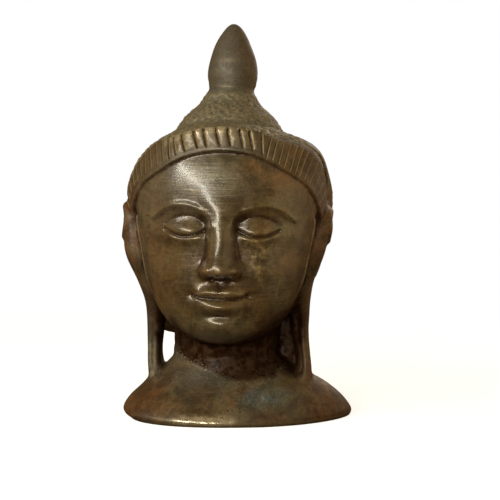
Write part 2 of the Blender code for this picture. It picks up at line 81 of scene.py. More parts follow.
# Head and hair: height, half width, front and back of each level
HEAD_ROWS = (
    (23, 6, -17, 4), (24.6, 11, -22.6, 9), (28, 16.2, -26.6, 14), (33, 20.2, -27.6, 18.5),
    (38, 22.8, -27.4, 22), (44, 25.2, -27.4, 25.5), (51, 27.2, -27.7, 28.5),
    (58, 28.5, -28.6, 30.3), (65, 28.9, -29, 31.2), (72, 28.2, -28.3, 30.4), (79, 25.4, -26.2, 27),
    (84, 21, -21, 21.5), (87, 14, -13.5, 15),
)
HAIR_ROWS = (
    (22.4, 12, 9, 19), (23.8, 21.5, 7.5, 22), (27.6, 23.8, 6.5, 24), (36, 23.6, 5.5, 25.5),
    (43, 24.6, 3, 29), (50, 28, -1, 31.8), (58, 31.2, -6, 33.4), (66, 32.4, -10, 33.6),
    (73, 31.4, -15, 32), (79, 28, -19.5, 28.6), (83.6, 22, -23, 24), (86.6, 16, -21.4, 19),
    (88.4, 11, -14.5, 13),
)
HEAD_SQUARENESS = 2.05

# The hair is fuller above the ears: middle of each swelling, its reach and how far it stands out
HAIR_FULLER = (
    ((25, -4, 80.6), (9, 16, 5.4), 2), ((-32, -4, 68), (8, 16, 5), 1.3),
)

# Neck: height, half width, front and back of each level
NECK_ROWS = (
    (8, 17, -13, 14.5), (14, 16.6, -12.4, 15.8), (20, 16.3, -11.6, 17), (27, 16.3, -12.5, 18.2),
    (36, 17.5, -14, 20),
)
NECK_SQUARENESS = 2.0

# Foot: height, half length, half depth and sideways shift of each level. It is turned, and one
# end is blunter than the other, until it meets the neck
FOOT_ROWS = (
    (-3, 32.9, 20, 5.3), (0, 34.4, 21.2, 5.5), (1.6, 35.8, 21.8, 4.7), (5.3, 33.4, 20, 4.3),
    (9, 29.4, 17, 4.1), (12, 25.6, 14, 3), (15.5, 19.4, 11.4, 1.2), (20, 15, 9.4, 0.2),
)
FOOT_TURN = 15.5
FOOT_TURN_ENDS = FOOT_ROWS[-1][0]
FOOT_BLUNT_END = 2.5
FOOT_KEEN_END = 1.7

# Topknot and finial: radius and height, from below. The finial stands a little to the right
KNOT_PROFILE = (
    (0, 80), (20, 81), (17.8, 85.6), (16, 88.2), (14, 91), (11.8, 93.2), (9.8, 95), (8.6, 96.6),
    (7.9, 98.2), (7.1, 99.7), (7.4, 101.8), (7.8, 104.6), (7.5, 107.8), (6.7, 110.8), (5.6, 113.8),
    (4.2, 116.8), (2.6, 119.2), (1.1, 120.5), (0, 120.8),
)
KNOT_BACK = 1.5
KNOT_LEAN = (-0.2, 0.6, 98.6, 101.4)
FINIAL_LINES = ((100.2, 0.8, -0.15), (102.4, 0.7, -0.05))

# Hair band: its lower and upper edge, from the middle of the forehead to one ear
BAND_LOWER = (
    (0, -27.3, 79.2), (11, -25.4, 77.4), (18.5, -21.8, 73.8), (25.2, -15, 69.2), (28.4, -8.6, 62.8),
    (29.6, -4.6, 56),
)
BAND_UPPER = (
    (0, -26.4, 86.6), (8, -25.2, 86.1), (15, -20.4, 84.4), (22.8, -11.6, 81.9), (29.8, -0.6, 74.6),
    (30.4, 2.4, 61),
)
BAND_SAMPLES = 40

# Ribbon of the band: its thickness, how far its face is rounded and the point it is thick towards
BAND_THICK = 5.0
BAND_ROUND = 0.06
BAND_HEART = (0.0, 0.0, 62.0)
ON_BAND = BAND_THICK / 3
JUST_UNDER_BAND = BAND_THICK / 2

# Step of the band above the forehead and the groove under it: both start at the temple's height
# and are mostly gone on the right
BAND_STEP = 0.15
UNDER_BAND = (0.3, 0.2, -0.1)
BAND_STEP_FROM = (63.0, 72.0)
BAND_STEP_TO = (7.0, 13.0)
MOSTLY = 0.8

# Across the band, as shares of its width: the plain lower edge with the line above it, which end
# on the right, and the rounded shoulder at the top
BAND_PLAIN = 0.15
BAND_PLAIN_ENDS = (9.0, 13.0)
BAND_LINE = (0.03, -0.06)
BAND_SHOULDER = (0.72, 1.0, -0.7)

# Depth of the cuts: at the lower edge and what it gains upwards, how they start, where they run
# out on the chamfer to the right, and where they are fainter
CUT_DEPTHS = (0.6, 0.4)
CUT_RUNS_IN = 1.4
CHAMFER = (0.75, 0.92)
CHAMFER_FROM = (7.0, 13.0)
CUTS_FADE = (20.0, 25.0)
CUTS_FAINTER = 0.6

# Hand-cut notches: where each one crosses the middle of the band in front, and its lean in degrees
CUTS = (
    (-24.3, 14, "fine"), (-22.3, 13, "fine"), (-20.2, 12, "fine"), (-18.2, 10, "fine"),
    (-16.1, 9, "deep"), (-14.3, 13, "fine"), (-11.7, 17, "deep"), (-8, 18, "deep"),
    (-5.3, 14, "deep"), (-1.6, 16, "deep"), (1.6, 12, "deep"), (5.1, 12, "deep"), (7.9, 12, "deep"),
    (10.9, 5, "fine"), (12.9, -12, "fine"), (14.5, -12, "fine"), (16.3, -12, "fine"),
    (18, -13, "fine"), (19.8, -14, "fine"), (21.4, -16, "fine"), (22.7, -18, "fine"),
)
# Half width of each kind of cut at the lower and the upper edge, and its depth
CUT_KINDS = {"deep": (0.3, 0.8, 1.0), "fine": (0.42, 0.5, 0.4), "flank": (0.45, 0.45, 0.3)}
# The cuts on the flanks fan out from a point on the axis, so many degrees from one to the next
FLANK_FOCUS = 8.0
FLANK_STEP = 1.5
FLANK_END = 32.0
# Least way from one cut to the next, and how far the count runs on past the last cuts
LEAST_GAP = 0.01
PAST_LAST_CUTS = (-0.5, 1.5)

# Ears: height, outer face, half thickness, middle of the depth and half depth of each level
EAR_ROWS = (
    (66, 31, 2.4, 4, 4), (63, 31.9, 3.6, 2.6, 7.6), (57.5, 31.8, 4.4, 1.2, 9.6),
    (52, 32, 4.6, 0.6, 9.8), (47.7, 31, 4.5, 0.4, 9.2), (44, 29.3, 4.2, 0.4, 8),
    (40, 27.5, 3.8, 0.5, 6.6), (35, 25.9, 3.2, 0.6, 5.2), (30, 25.2, 2.9, 0.6, 4.4),
    (24.5, 24.9, 2.5, 0.5, 4.6), (20, 24.7, 2.2, 0.4, 5.2), (16, 24.5, 2.3, 0.2, 6),
    (12, 24, 2.8, 0, 7), (8, 23.8, 3.6, 0, 8),
)
EAR_SQUARENESS = 2.6
# Shift of the lobes below the ears, and heights where the right one is slimmer, fuller and flared
LOBE_SHIFT = 0.6
LOBE_FROM = 30.0
LOBE_TO = 46.0
RIGHT_SLIMMER = (46.5, 10.5, 1.8)
RIGHT_FULLER = (58.2, 2.8, 0.95)
RIGHT_FLARE = (28.0, 6.0, 2.7)

# Behind the lobe on the right a wall of metal closes the gap: height, half width, front and back
RIGHT_WALL = (
    (8, 6, 3, 9), (14, 5, 3.2, 8.6), (22, 4.8, 3.6, 8.6), (30, 4.6, 4.4, 9.4), (37, 3.6, 7, 11),
)
RIGHT_WALL_OUT = 19.0

# Face, by the classical canon: three equal thirds from hairline to chin, five eyes across
CHIN = 25.4
THIRD = (BAND_LOWER[0][2] - CHIN) / 3
NOSE_BASE = CHIN + THIRD
BROW = CHIN + 2 * THIRD
MOUTH = NOSE_BASE - THIRD / 3
FACE_WIDTH = 50.0
EYE = FACE_WIDTH / 5
EYES = BROW - 0.28 * THIRD
FACE_FRONT = (8.0, 14.0)

# Nose: share of the middle third from below, half width and how far it stands out there
NOSE_ROWS = (
    (0, 5.6, 6), (0.1, 6, 7), (0.2, 5.7, 6.8), (0.36, 5, 5.4), (0.6, 4.6, 4), (0.85, 4.8, 2.7),
    (1.05, 5.8, 1.5), (1.3, 7, 0.4), (1.5, 8.5, 0),
)
NOSE_UNDER = 1.2
NOSE_FULLNESS = 1.3

# Swellings of the face: middle across and up, reach across and up, how far each stands out
FACE_SWELLINGS = {
    "eyelid": (EYE + 0.3, EYES + 0.7, 5.6, 3.4, 2),
    "wing of the nose": (4.3, NOSE_BASE + 1.9, 1.7, 1.8, 2.4),
    "nostril": (2.1, NOSE_BASE - 0.3, 1.1, 0.8, -1.5),
    "eye socket": (EYE, BROW - 2.2, 7.5, 2.8, -1.5),
    "inner corner": (EYE / 2, EYES + 0.8, 2.4, 3, -1.2),
    "round of the mouth": (0, MOUTH - 0.5, 9, 6.5, 1.6),
    "upper lip": (2.2, MOUTH + 1.6, 3.6, 1.35, 1.4),
    "lower lip": (0, MOUTH - 2.3, 4.8, 1.8, 2),
    "corner of the mouth": (8, MOUTH + 0.7, 1.3, 1.3, -0.6),
    "hollow under the lip": (0, MOUTH - 4.9, 4.5, 1.3, -0.9),
    "chin": (0, CHIN + 3.6, 5.2, 3.6, 1.5),
    "cheek": (13, NOSE_BASE + 1.5, 6.5, 7, 1.2),
}

# Lines of the face: start of the path across and up, its points from there, half width, height
AT_BROW = (0.0, BROW)
BROW_PATH = ((2.7, -3.6), (3.7, -0.8), (7.0, 1.4), (11.5, 2.5), (16.5, 1.7), (20.5, -1.0))
AT_EYE = (EYE, EYES)
SHUT_LID_PATH = ((-5.3, 0.3), (-2.8, -0.9), (0, -1.5), (3.1, -1.1), (6.3, 0.5))
LOWER_LID_PATH = ((-4, -1.8), (-2, -2.6), (0.2, -2.9), (2.6, -2.5), (4.8, -1.5))
AT_MOUTH = (0.0, MOUTH)
FACE_LINES = {
    "brow": (AT_BROW, BROW_PATH, 0.9, 0.6),
    "lid fold": (AT_EYE, ((-4.4, 2.7), (-2.2, 4), (0.4, 4.5), (3.4, 3.9), (6.2, 2.2)), 0.7, -0.25),
    "shut lid": (AT_EYE, SHUT_LID_PATH, 0.5, -0.9),
    "lower lid": (AT_EYE, LOWER_LID_PATH, 0.9, 0.25),
    "edge of the lip": (AT_MOUTH, ((0, 1.9), (1.9, 2.5), (4.4, 1.7), (7, 0.8)), 0.6, 0.35),
    "parting of the lips": (AT_MOUTH, ((0, -0.3), (2.6, -0.1), (5.2, 0.1), (7.6, 0.8)), 0.45, -1),
    "groove above the lip": (AT_MOUTH, ((0, 3.2), (0, 4.4), (0, 5.4)), 1, -0.4),
}

# Edge of the face from temple to chin, and the side of the head falling away behind it
FACE_EDGE = (
    (26.4, -11.5, 60), (25.8, -11, 52), (23.8, -10.8, 44), (20.6, -11.6, 37), (16.4, -14, 31),
    (11, -18.5, 27),
)
FACE_EDGE_LINE = (0.65, 0.7)
FACE_SIDE_BEHIND = (0.0, 3.4, 0.6)
FACE_SIDE_LINE = (2.2, -0.6)

# Ear: rim and hollow as depth and height, and the channel down the front of the lobe in space
EAR_RIM = (
    (-3.4, 54), (-5.4, 58.5), (-2.5, 62.6), (3.2, 63), (7.6, 59.5), (8.4, 53.5), (6.4, 47.5),
    (3.4, 43),
)
EAR_RIM_LINE = (1.1, 0.7)
EAR_HOLLOW = (1.0, 53.5, 3.2, 4.8, -1.7)
EAR_FROM_AXIS = (26.0, 28.0)
EAR_FROM_FRONT = (-8.5, -7.0)
LEFT_CHANNEL = ((-23.0, -4.6, 31.0), (-22.7, -4.6, 24.0), (-22.5, -5.0, 18.0), (-21.6, -6.4, 12.5))
LEFT_CHANNEL_LINE = (1.0, -0.8)
RIGHT_CHANNEL = ((21.6, -4.4, 34.0), (21.5, -4.4, 26.0), (22.1, -4.8, 19.0), (23.0, -5.6, 14.0))
RIGHT_CHANNEL_LINE = (1.6, -1.5)
CHANNELS_FADE = ((11.0, 17.0), (28.0, 35.0))

# Folds of the neck: their heights, how they sag to the sides and where they fade out
NECK_FOLDS = (22.2, 18.8)
NECK_LINE = (1.2, -0.2)
NECK_SAG = 0.004
NECK_FADE = (17.0, 20.0)

# Hair: how far behind the band it starts, and the curls stippled into it
HAIR_FROM_BAND = (0.4, 1.6)
CURL_BEND = 2.2
CURL_SEEDS = (3.1, 17.7, 41.3)
CURL_GRAIN = 1.7
CURL_GRAIN_BENT = 0.9
CURL_GRAIN_LEVEL = 0.55
CURL_STRAND = 1.5
CURL_STRAND_BENT = 0.6
CURL_STRAND_SEED = 7.9
CURL_STRAND_SHARE = 0.45

# Waves of the hand-worked surface: their size and seed, and where the finial has more of them
WAVES = (7.0, 11.0)
WAVIER_FROM = (97.0, 102.0)

# Stains on the skin, and spots of painted shade and painted highlight: middle, reach and strength
STAINS = {
    "rusty": (
        ((6.8, -14, 9.4), (2.4, 12, 1.5), 1), ((3.4, -16, 6.4), (1.5, 12, 2.2), 0.9),
        ((17, -18, 2.6), (6, 12, 1.6), 0.5), ((-22, -12, 6.5), (8, 14, 4.5), 0.5),
        ((17, -24, 71), (7, 9, 4), 0.55), ((9, -28, 74), (5, 9, 3), 0.5),
        ((-23, -18, 38), (5, 10, 13), 0.6),
    ),
    "bloom": (
        ((10.2, -15, 7.8), (3.6, 12, 2), 1.2), ((15.5, -15, 7.6), (5, 12, 1.8), 0.8),
    ),
    "bared": (
        ((11.5, -27, 49.5), (5, 9, 5.5), 1), ((14, -27, 73), (9, 9, 4.5), 0.4),
        ((5, -24, 27), (9, 9, 4), 0.3),
    ),
    "crusted": (
        ((-22.6, -4.5, 20), (1.3, 3, 10), 1), ((-20.6, -7, 12.6), (2.2, 4, 2.4), 0.9),
    ),
    "handled": (
        ((-30, -10, 8), (16, 30, 8), 1), ((34, -10, 8), (12, 30, 8), 0.6),
    ),
    # Greyer skin on the foot, and a painted sheen on the lit left of the forehead
    "greyed_and_sheen": (
        ((-7, -14, 13), (9, 12, 3.2), 0.9), ((-12, -26, 72), (14, 14, 14), 0.8),
    ),
    # Painted highlights on the finial: a smudge on its bulb and two light lines at its foot
    "rubbed_and_highlight": (
        ((-1, -12, 107.7), (2.6, 10, 0.5), 0.5), ((-1.4, -12, 99.9), (2.6, 10, 0.4), 0.45),
        ((-3, -12, 98.3), (0.8, 8, 0.6), 0.5),
    ),
    # Painted shade: under the chin, behind the lobes, low on the right of the foot, and on the
    # right of the forehead and finial
    "painted_shade": (
        ((20.6, -4, 23), (2.4, 5, 11), 1.3), ((16.5, 4, 24), (6, 12, 12), 1.6),
        ((-19.8, -4, 22), (1, 5, 10), 0.9), ((13, -20, 3), (8, 12, 1.8), 0.5),
        ((24, -12, 6), (6, 12, 4), 0.3), ((23, -16, 73), (12, 14, 9), 0.3),
        ((6, -10, 104), (4, 8, 9), 0.3), ((0, -22, 24), (22, 12, 5), 0.25),
    ),
}

# Regions of the skin: a strength, then along an axis from where it is 0 to where it is full
X, Y, Z = range(3)
REGIONS = {
    "hair": ((1, (Z, 24, 31), (Z, 98.8, 97.4)),),
    "ear": ((1, (X, 26, 28.5), (Y, 13, 10.5), (Z, 68, 62)),),
    "smooth hair": ((1, (X, 22, 26), (Y, 14, 8)),),
    "shaded cuts": ((0.4,), (0.6, (X, -19, -15), (X, 7, 2))),
    # Painted shade on the neck under the chin, in the recesses behind the lobes and under the
    # foot's rim; the finial is darkened a little too
    "sooty neck": ((1, (X, -17.5, -12.5), (X, 22.5, 17.5), (Y, -24, -18), (Z, 36, 30)),),
    "painted_shade": (
        (0.8, (X, -27, -20), (X, 27, 20), (Y, -16, -10), (Z, 20, 25), (Z, 52, 40)),
        (0.22, (Z, 98, 101)), (0.5, (Z, 1.5, 0.3)),
    ),
    "dusty": ((0.4, (X, -17, -13)), (0.6, (X, -17, -13), (X, 2, -4))),
    "polished": ((1, (Y, -14, -20), (Z, 24, 30), (Z, 88, 84)),),
    "polished band": (
        (0.3, (Y, -14, -20), (Z, 24, 30)), (0.7, (Y, -14, -20), (Z, 24, 30), (X, 12, 4)),
    ),
    # The foot's rim, the band's top edge and the face edge are rubbed and painted pale as
    # highlights
    "rim": ((1, (X, -15, -10), (X, 6, 1), (Y, -12, -16)),),
    "rubbed band": ((1, (X, -20, -15), (X, 5, -1)),),
    "rubbed face": ((0.3, (Z, 66, 56)),),
    "handled": (
        (1, (X, -22, -30), (Z, 76, 66)), (1, (X, 22, 30), (Z, 76, 66)),
    ),
    "greyed_and_sheen": ((0.45, (Z, 84, 92)), (0.45, (Z, 84, 92), (X, 7, 0))),
}

# Lower edge of the painted shade under the chin on the neck, in front view, where the dust has
# settled too
SHADE_EDGE = (
    (-15, 18.9), (-9, 16), (-1.5, 13.7), (1.5, 12), (8, 11.7), (15, 12.7), (17.5, 16.6),
)
SHADE_FRINGE = (-0.7, 1.2)
SHADE_DULLS = 0.5
DUST = (0.3, 2.2, 1.0)
DUST_IN_FRONT_OF = -2.0
DUST_BELOW = 22.0

# Wear, painted shade and highlights: rings of corners to average over, and how far the skin stands
# out or lies back in parts
CLOSE_RINGS = 5
WIDE_RINGS = 36
WORN = (0.07, 0.28)
WORN_HAIR = (0.02, 0.14)
# Where the skin lies back it is painted dark, with dirt and with shade
SHELTERED_CLOSE = 0.12
SHELTERED_WIDE = 1.8
SHELTERED_HAIR = 0.6
UNDER_SHADE = (0.2, 0.22, 1.0)
BAND_LIP = 0.25
BAND_LIP_POLISH = 0.1
BAND_POLISH = 0.5
RIM = (2.4, 2.0, 1.0)
RIM_POLISH = 1.4
# The rubbed band edge, foot rim and face edge are also painted highlights
RUBBED_AND_HIGHLIT_BAND = (0.86, 0.2, 1.3)
RUBBED_AND_HIGHLIT_RIM = (1.6, 1.2, 1.5)
RUBBED_AND_HIGHLIT_FACE = (0.1, 0.4)

# Masks that are stored on the casting for its patina and its painted shade and highlights
MASKS = (
    "worn", "sheltered", "stippled", "handled", "bared", "bloom", "crusted", "polished", "painted_shade",
    "greyed_and_sheen", "rusty", "rubbed_and_highlight", "dusty", "under_band", "cut_count", "cut_depth", "cut_shade",
)
# Spans of the patina's masks: the low and high end that are read, and what they are brought to
SPANS = {
    "cloud": (0.38, 0.62), "blotch": (0.32, 0.66), "breakup": (0.35, 0.65),
    "broken": (0.2, 0.9, 0.35, 1), "bared": (0.3, 1), "crusted": (0.3, 0.7, 0.1, 1),
    "grain": (0.25, 0.75, 0.68, 1.3), "darkest": (0, 1, 0.6, 0.9), "lightest": (0, 1, 1.25, 1.08),
    "streak": (0.5, 0.8), "worn": (0, 1, 0.3, 0.75), "sheltered": (0, 1, 0.5, 0.85),
    "painted_shade": (0, 1, 0.75, 1), "speck": (0.38, 0.2), "specked": (0.3, 0.7),
    "rough": (0, 1, 0.46, 0.58), "fine": (0, 1, 0.15, 0.5), "cut_depth": (0.2, 0.7),
    "cut_shade": (0.1, 0.7), "pit": (0.28, 0.1), "pitted": (0.58, 0.7), "scratched": (0.52, 0.6),
}
# How much of a mask each layer takes, and what the masks add to the roughness
STRENGTHS = {
    "ash": 0.7, "streak": 0.25, "scratch": 0.2, "pit": 0.7, "shadowed_core": 0.85, "under_band": 0.5,
    "burr_and_glint": 0.85, "metal": 0.6, "coat": 0.55, "marks": 0.7, "pit relief": 0.4,
}
ROUGHER = {"polished": -0.2, "stippled": 0.06, "dirt_and_shade": 0.25, "rubbed_and_highlight": -0.27, "crusted": 0.2}
LEAST_METAL = 0.3
LEAST_COAT = 0.05
COAT_ROUGHNESS = 0.2
IOR = 1.5

# Ridges over the way from cut to cut and over a noise: their middle and half width
# The core of each cut is painted shadow, and the burr beside it holds a painted highlight on its
# lit side
SHADOWED_CORE = (0.47, 0.13)
BURR_AND_GLINT = (0.63, 0.15)
SCRATCHES = ((0.47, 0.006), (0.58, 0.005))

# Noises: scale, detail, roughness and distortion; those of the mottling are multiples of its scale
MOTTLES = {
    "cloud": (1, 4, 0.6),
    "blotch": (2.6, 6, 0.65, 0.6),
    "breakup": (7, 5, 0.7),
}
MOTTLING_SCALE = 60.0
PIT_SCALE = 600.0
SCRATCH_SCALE = 70.0
FINEST = (1700.0, 3.0, 0.7)
FINE = (900.0, 3.0, 0.6)
PIT_PATCHES = (130.0, 2.0)
SCRATCH_PATCHES = (150.0, 1.0)
SPECK_SCALE = 1500.0
BRUSH_STRETCH = {"Rotation": (0.0, 0.12, 0.0), "Scale": (90.0, 300.0, 1500.0)}
BRUSH_DETAIL = (3.0, 0.6)
SCRATCH_DETAIL = 0.5
GRAIN_BUMP = {"Strength": 0.6, "Distance": 0.0002}
CHISEL_BUMP = {"Strength": 0.4, "Distance": 0.0002}

# Lamps: place, roll in degrees, width and height, power and colour
LAMPS = {
    "window": ((-0.215, -0.425, 0.196), -20.0, (0.8, 0.045), 2.7, (1.0, 0.98, 0.88)),
    "warm_fill": ((0.5, 0.06, 0.12), 0.0, (0.8, 0.7), 0.95, (1.0, 0.74, 0.44)),
    "left_glow": ((-0.42, 0.08, 0.08), 0.0, (0.3, 0.3), 0.08, (1.0, 0.42, 0.18)),
    "back_soft": ((0.2, 0.5, 0.35), 0.0, (0.4, 0.4), 0.75, (1.0, 0.93, 0.84)),
}
LAMP_TARGET = (0.0, 0.0, 0.06)
FLOOR_RADIUS = 0.7
FLOOR_FADE = (0.08, 0.4)
FLOOR_LIFT = 0.7
FLOOR_IN_METAL = (0.13, 0.08, 0.04, 1.0)
AROUND_IN_METAL = (0.215, 0.152, 0.066, 1.0)
WHITE = (1.0, 1.0, 1.0, 1.0)
CAMERA_SHIFT = (0.044, -0.05)
CLIP_START = 0.01


class CastingSizes(bpy.types.PropertyGroup):
    """How finely the casting is worked."""

    grain: FloatProperty(
        name="Grain",
        description="Grain of the skin that the forms are fused into, in parts",
        default=0.31,
        min=0.3,
        max=1.0,
    )
    soft_passes: IntProperty(
        name="Soft passes",
        description="How often the plain forms are softened where they meet",
        default=40,
        min=0,
    )
    crisp_passes: IntProperty(
        name="Crisp passes",
        description="How often the band and ears are softened where they meet the head",
        default=6,
        min=0,
    )
    facets: IntProperty(
        name="Facets",
        description="Most triangles the casting keeps",
        default=190000,
        min=10000,
        max=199000,
    )
    curl: FloatProperty(
        name="Curl",
        description="How far the stippled curls stand out of the topknot, in parts",
        default=0.45,
        min=0.0,
    )
    waviness: FloatProperty(
        name="Waviness",
        description="How far the hand-worked surface strays from its form, in parts",
        default=0.1,
        min=0.0,
    )


COLOURS = {
    "brown": ("Dark brown skin of the bronze", (0.1, 0.057, 0.019)),
    "olive": ("Greyer brown that clouds the skin", (0.112, 0.09, 0.045)),
    "russet": ("Reddish brown of the handled sides", (0.108, 0.04, 0.014)),
    # Gold also paints the highlight along the lit side of each cut
    "gold": ("Bare metal where the skin is worn through", (0.34, 0.24, 0.11)),
    "slate": ("Blue-grey bloom on the foot", (0.13, 0.155, 0.145)),
    "ash": ("Pale olive dust in the stippled hair", (0.19, 0.172, 0.11)),
    "rust": ("Orange-brown of the stains", (0.17, 0.068, 0.014)),
    # Pewter also paints a greyer sheen on the lit left of the forehead
    "pewter": ("Greenish grey of the finial and the topknot", (0.118, 0.105, 0.074)),
    # The pale metal also paints highlights on the band's top edge, the foot's rim and the finial
    "bare_and_highlight": ("Pale metal of the rubbed edges", (0.6, 0.5, 0.32)),
    "dust": ("Pale specks where the neck meets the foot", (0.34, 0.3, 0.2)),
    # The grime colour also paints the shade in the recesses, under the chin and on the side away
    # from the light
    "grime_and_shade": ("Dark dirt in the recesses", (0.036, 0.012, 0.0035)),
    "verdigris": ("Green-grey crust in the channels of the lobes", (0.2, 0.185, 0.115)),
}


class PatinaColours(bpy.types.PropertyGroup):
    """Colours of the metal and of what age has left on it."""

    __annotations__ = {
        name: FloatVectorProperty(
            name=name.capitalize(),
            description=description,
            subtype="COLOR",
            default=default,
            min=0.0,
            max=1.0,
        )
        for name, (description, default) in COLOURS.items()
    }


class StageSettings(bpy.types.PropertyGroup):
    """Camera, floor and lamps."""

    distance: FloatProperty(
        name="Distance",
        description="From the camera to the casting's axis",
        default=0.311,
        min=0.05,
        unit="LENGTH",
    )
    eye_level: FloatProperty(
        name="Eye level",
        description="Height of the camera",
        default=0.0579,
        unit="LENGTH",
    )
    turn: FloatProperty(
        name="Turn",
        description="How far the camera stands round to the right",
        default=math.radians(4.0),
        unit="ROTATION",
    )
    roll: FloatProperty(
        name="Roll",
        description="How far the camera is tipped sideways",
        default=math.radians(1.2),
        unit="ROTATION",
    )
    lens: FloatProperty(
        name="Lens",
        description="Focal length in millimetres",
        default=72.8,
        min=10.0,
    )
    floor: FloatVectorProperty(
        name="Floor",
        description="Pale grey of the floor",
        subtype="COLOR",
        default=(0.86, 0.86, 0.86),
        min=0.0,
        max=1.0,
    )


def between(rows, steps=BETWEEN):
    """Rows with so many steps from each given row to the next, on a smooth curve through all."""
    rows = np.array(rows, float)
    ends = np.vstack([2 * rows[0] - rows[1], rows, 2 * rows[-1] - rows[-2]])
    filled = []
    for before, start, end, after in zip(ends, ends[1:], ends[2:], ends[3:]):
        for step in range(steps):
            t = step / steps
            pull = (end - before) * t
            bend = (2 * before - 5 * start + 4 * end - after) * t**2
            turn = (3 * start - before - 3 * end + after) * t**3
            filled.append(start + 0.5 * (pull + bend + turn))
    return np.array([*filled, rows[-1]])


def ease(value, start, end):
    """Rises smoothly from 0 at start to 1 at end."""
    share = np.clip((value - start) / (end - start), 0, 1)
    return share * share * (3 - 2 * share)


def oval(half_width, half_depth, squareness):
    """Points round a level, squarer than an ellipse where squareness is over 2."""
    angle = np.linspace(0, 2 * math.pi, AROUND, endpoint=False)
    across, along = np.cos(angle), np.sin(angle)
    x = half_width * np.sign(across) * np.abs(across) ** (2 / squareness)
    y = half_depth * np.sign(along) * np.abs(along) ** (2 / squareness)
    return x, y


def level(x, y, z):
    """Points at one height."""
    return np.column_stack([x, y, np.full(len(x), z)])


def loft(rings):
    """A closed skin through rings of points: a loop extruded from ring to ring, its ends filled."""
    bm = bmesh.new()
    first = bmesh.ops.create_circle(bm, segments=len(rings[0]), radius=1)["verts"]
    ring = first
    for points in rings:
        if points is not rings[0]:
            ring = next_ring(bm, ring)
        for corner, point in zip(ring, points):
            corner.co = point
    bmesh.ops.contextual_create(bm, geom=first)
    bmesh.ops.contextual_create(bm, geom=ring)
    bmesh.ops.recalc_face_normals(bm, faces=bm.faces)
    return bm


def next_ring(bm, ring):
    """Extrudes a loop and returns the new loop's corners in the order of the old one's."""
    old = set(ring)
    edges = {edge for corner in ring for edge in corner.link_edges if set(edge.verts) <= old}
    grown = bmesh.ops.extrude_edge_only(bm, edges=list(edges))["geom"]
    new = {item for item in grown if isinstance(item, bmesh.types.BMVert)}
    partners = [[edge.other_vert(corner) for edge in corner.link_edges] for corner in ring]
    return [next(partner for partner in found if partner in new) for found in partners]


def upright(rows, squareness):
    """A form of oval levels, each with its own half width, front and back."""
    rings = []
    for z, half_width, front, back in between(rows):
        x, y = oval(half_width, (back - front) / 2, squareness)
        rings.append(level(x, y + (front + back) / 2, z))
    return loft(rings)


def foot():
    """A boat-shaped foot: one end blunt, the other keen, turned until it meets the neck."""
    rings = []
    for z, half_length, half_depth, shift in between(FOOT_ROWS):
        fade = min(1.0, max(0.0, 1 - z / FOOT_TURN_ENDS))
        keen_x, keen_y = oval(half_length, half_depth, 2 + (FOOT_KEEN_END - 2) * fade)
        blunt_x, blunt_y = oval(half_length, half_depth, 2 + (FOOT_BLUNT_END - 2) * fade)
        x, y = np.where(keen_x < 0, blunt_x, keen_x), np.where(keen_x < 0, blunt_y, keen_y)
        turn = math.radians(FOOT_TURN * fade)
        along = x * math.cos(turn) - y * math.sin(turn) + shift
        across = x * math.sin(turn) + y * math.cos(turn)
        rings.append(level(along, across, z))
    return loft(rings)


def knot(grain):
    """Topknot and finial, turned about an upright axis."""
    bm = bmesh.new()
    profile = [bm.verts.new((radius, KNOT_BACK, z)) for radius, z in between(KNOT_PROFILE)]
    edges = [bm.edges.new(pair) for pair in zip(profile, profile[1:])]
    bmesh.ops.spin(
        bm,
        geom=profile + edges,
        cent=(0, KNOT_BACK, 0),
        axis=(0, 0, 1),
        angle=2 * math.pi,
        steps=AROUND,
        use_merge=True,
    )
    bmesh.ops.remove_doubles(bm, verts=bm.verts, dist=grain / 100)
    bmesh.ops.recalc_face_normals(bm, faces=bm.faces)
    below, step, start, end = KNOT_LEAN
    for corner in bm.verts:
        corner.co.x += below + step * ease(corner.co.z, start, end)
    return bm


def ear(side):
    """An ear that runs down into a long flat lobe, on the side of +X or -X."""
    rings = []
    for z, outer, half_thick, middle, half_depth in between(EAR_ROWS):
        x, y = oval(half_thick, half_depth, EAR_SQUARENESS)
        shift = LOBE_SHIFT * (1 - ease(z, LOBE_FROM, LOBE_TO))
        if side > 0:
            start, end, flare = RIGHT_FLARE
            shift += flare * (1 - ease(z, end, start))
            shift += crossing(z, *RIGHT_FULLER) - crossing(z, *RIGHT_SLIMMER)
        rings.append(level(side * (outer - half_thick + x) + shift, y + middle, z))
    return loft(rings)


def wall():
    """The wall between the right lobe and the neck."""
    bm = upright(RIGHT_WALL, HEAD_SQUARENESS)
    bmesh.ops.translate(bm, vec=(RIGHT_WALL_OUT, 0, 0), verts=bm.verts)
    return bm


def band_edges(steps=BETWEEN):
    """Lower and upper edge of the band from one ear over the forehead to the other."""
    edges = []
    for half in (BAND_LOWER, BAND_UPPER):
        other = np.array(half[:0:-1]) * (-1, 1, 1)
        edges.append(between([*other, *half], steps))
    return edges


def band():
    """A ribbon with a rounded face, laid round the head from ear to ear."""
    rings = []
    for low, high in zip(*band_edges()):
        middle = (low + high) / 2
        inward = np.array(BAND_HEART) - middle
        inward *= BAND_THICK / np.linalg.norm(inward)
        proud = middle - inward * BAND_ROUND
        rings.append(np.array([low, proud, high, high + inward, low + inward]))
    return loft(rings)


def fuse(name, forms, grain, passes):
    """Joins the forms into one skin of even grain and softens where they meet."""
    mesh = bpy.data.meshes.new(name)
    joined = bmesh.new()
    for form in forms:
        form.to_mesh(mesh)
        joined.from_mesh(mesh)
        form.free()
    joined.to_mesh(mesh)
    joined.free()
    obj = bpy.data.objects.new(name, mesh)
    bpy.context.scene.collection.objects.link(obj)
    remesh = obj.modifiers.new("Grain", "REMESH")
    remesh.mode = "VOXEL"
    remesh.voxel_size = grain
    soften = obj.modifiers.new("Soften", "SMOOTH")
    soften.iterations = passes
    soften.factor = SOFTENING
    settle(obj)
    return obj


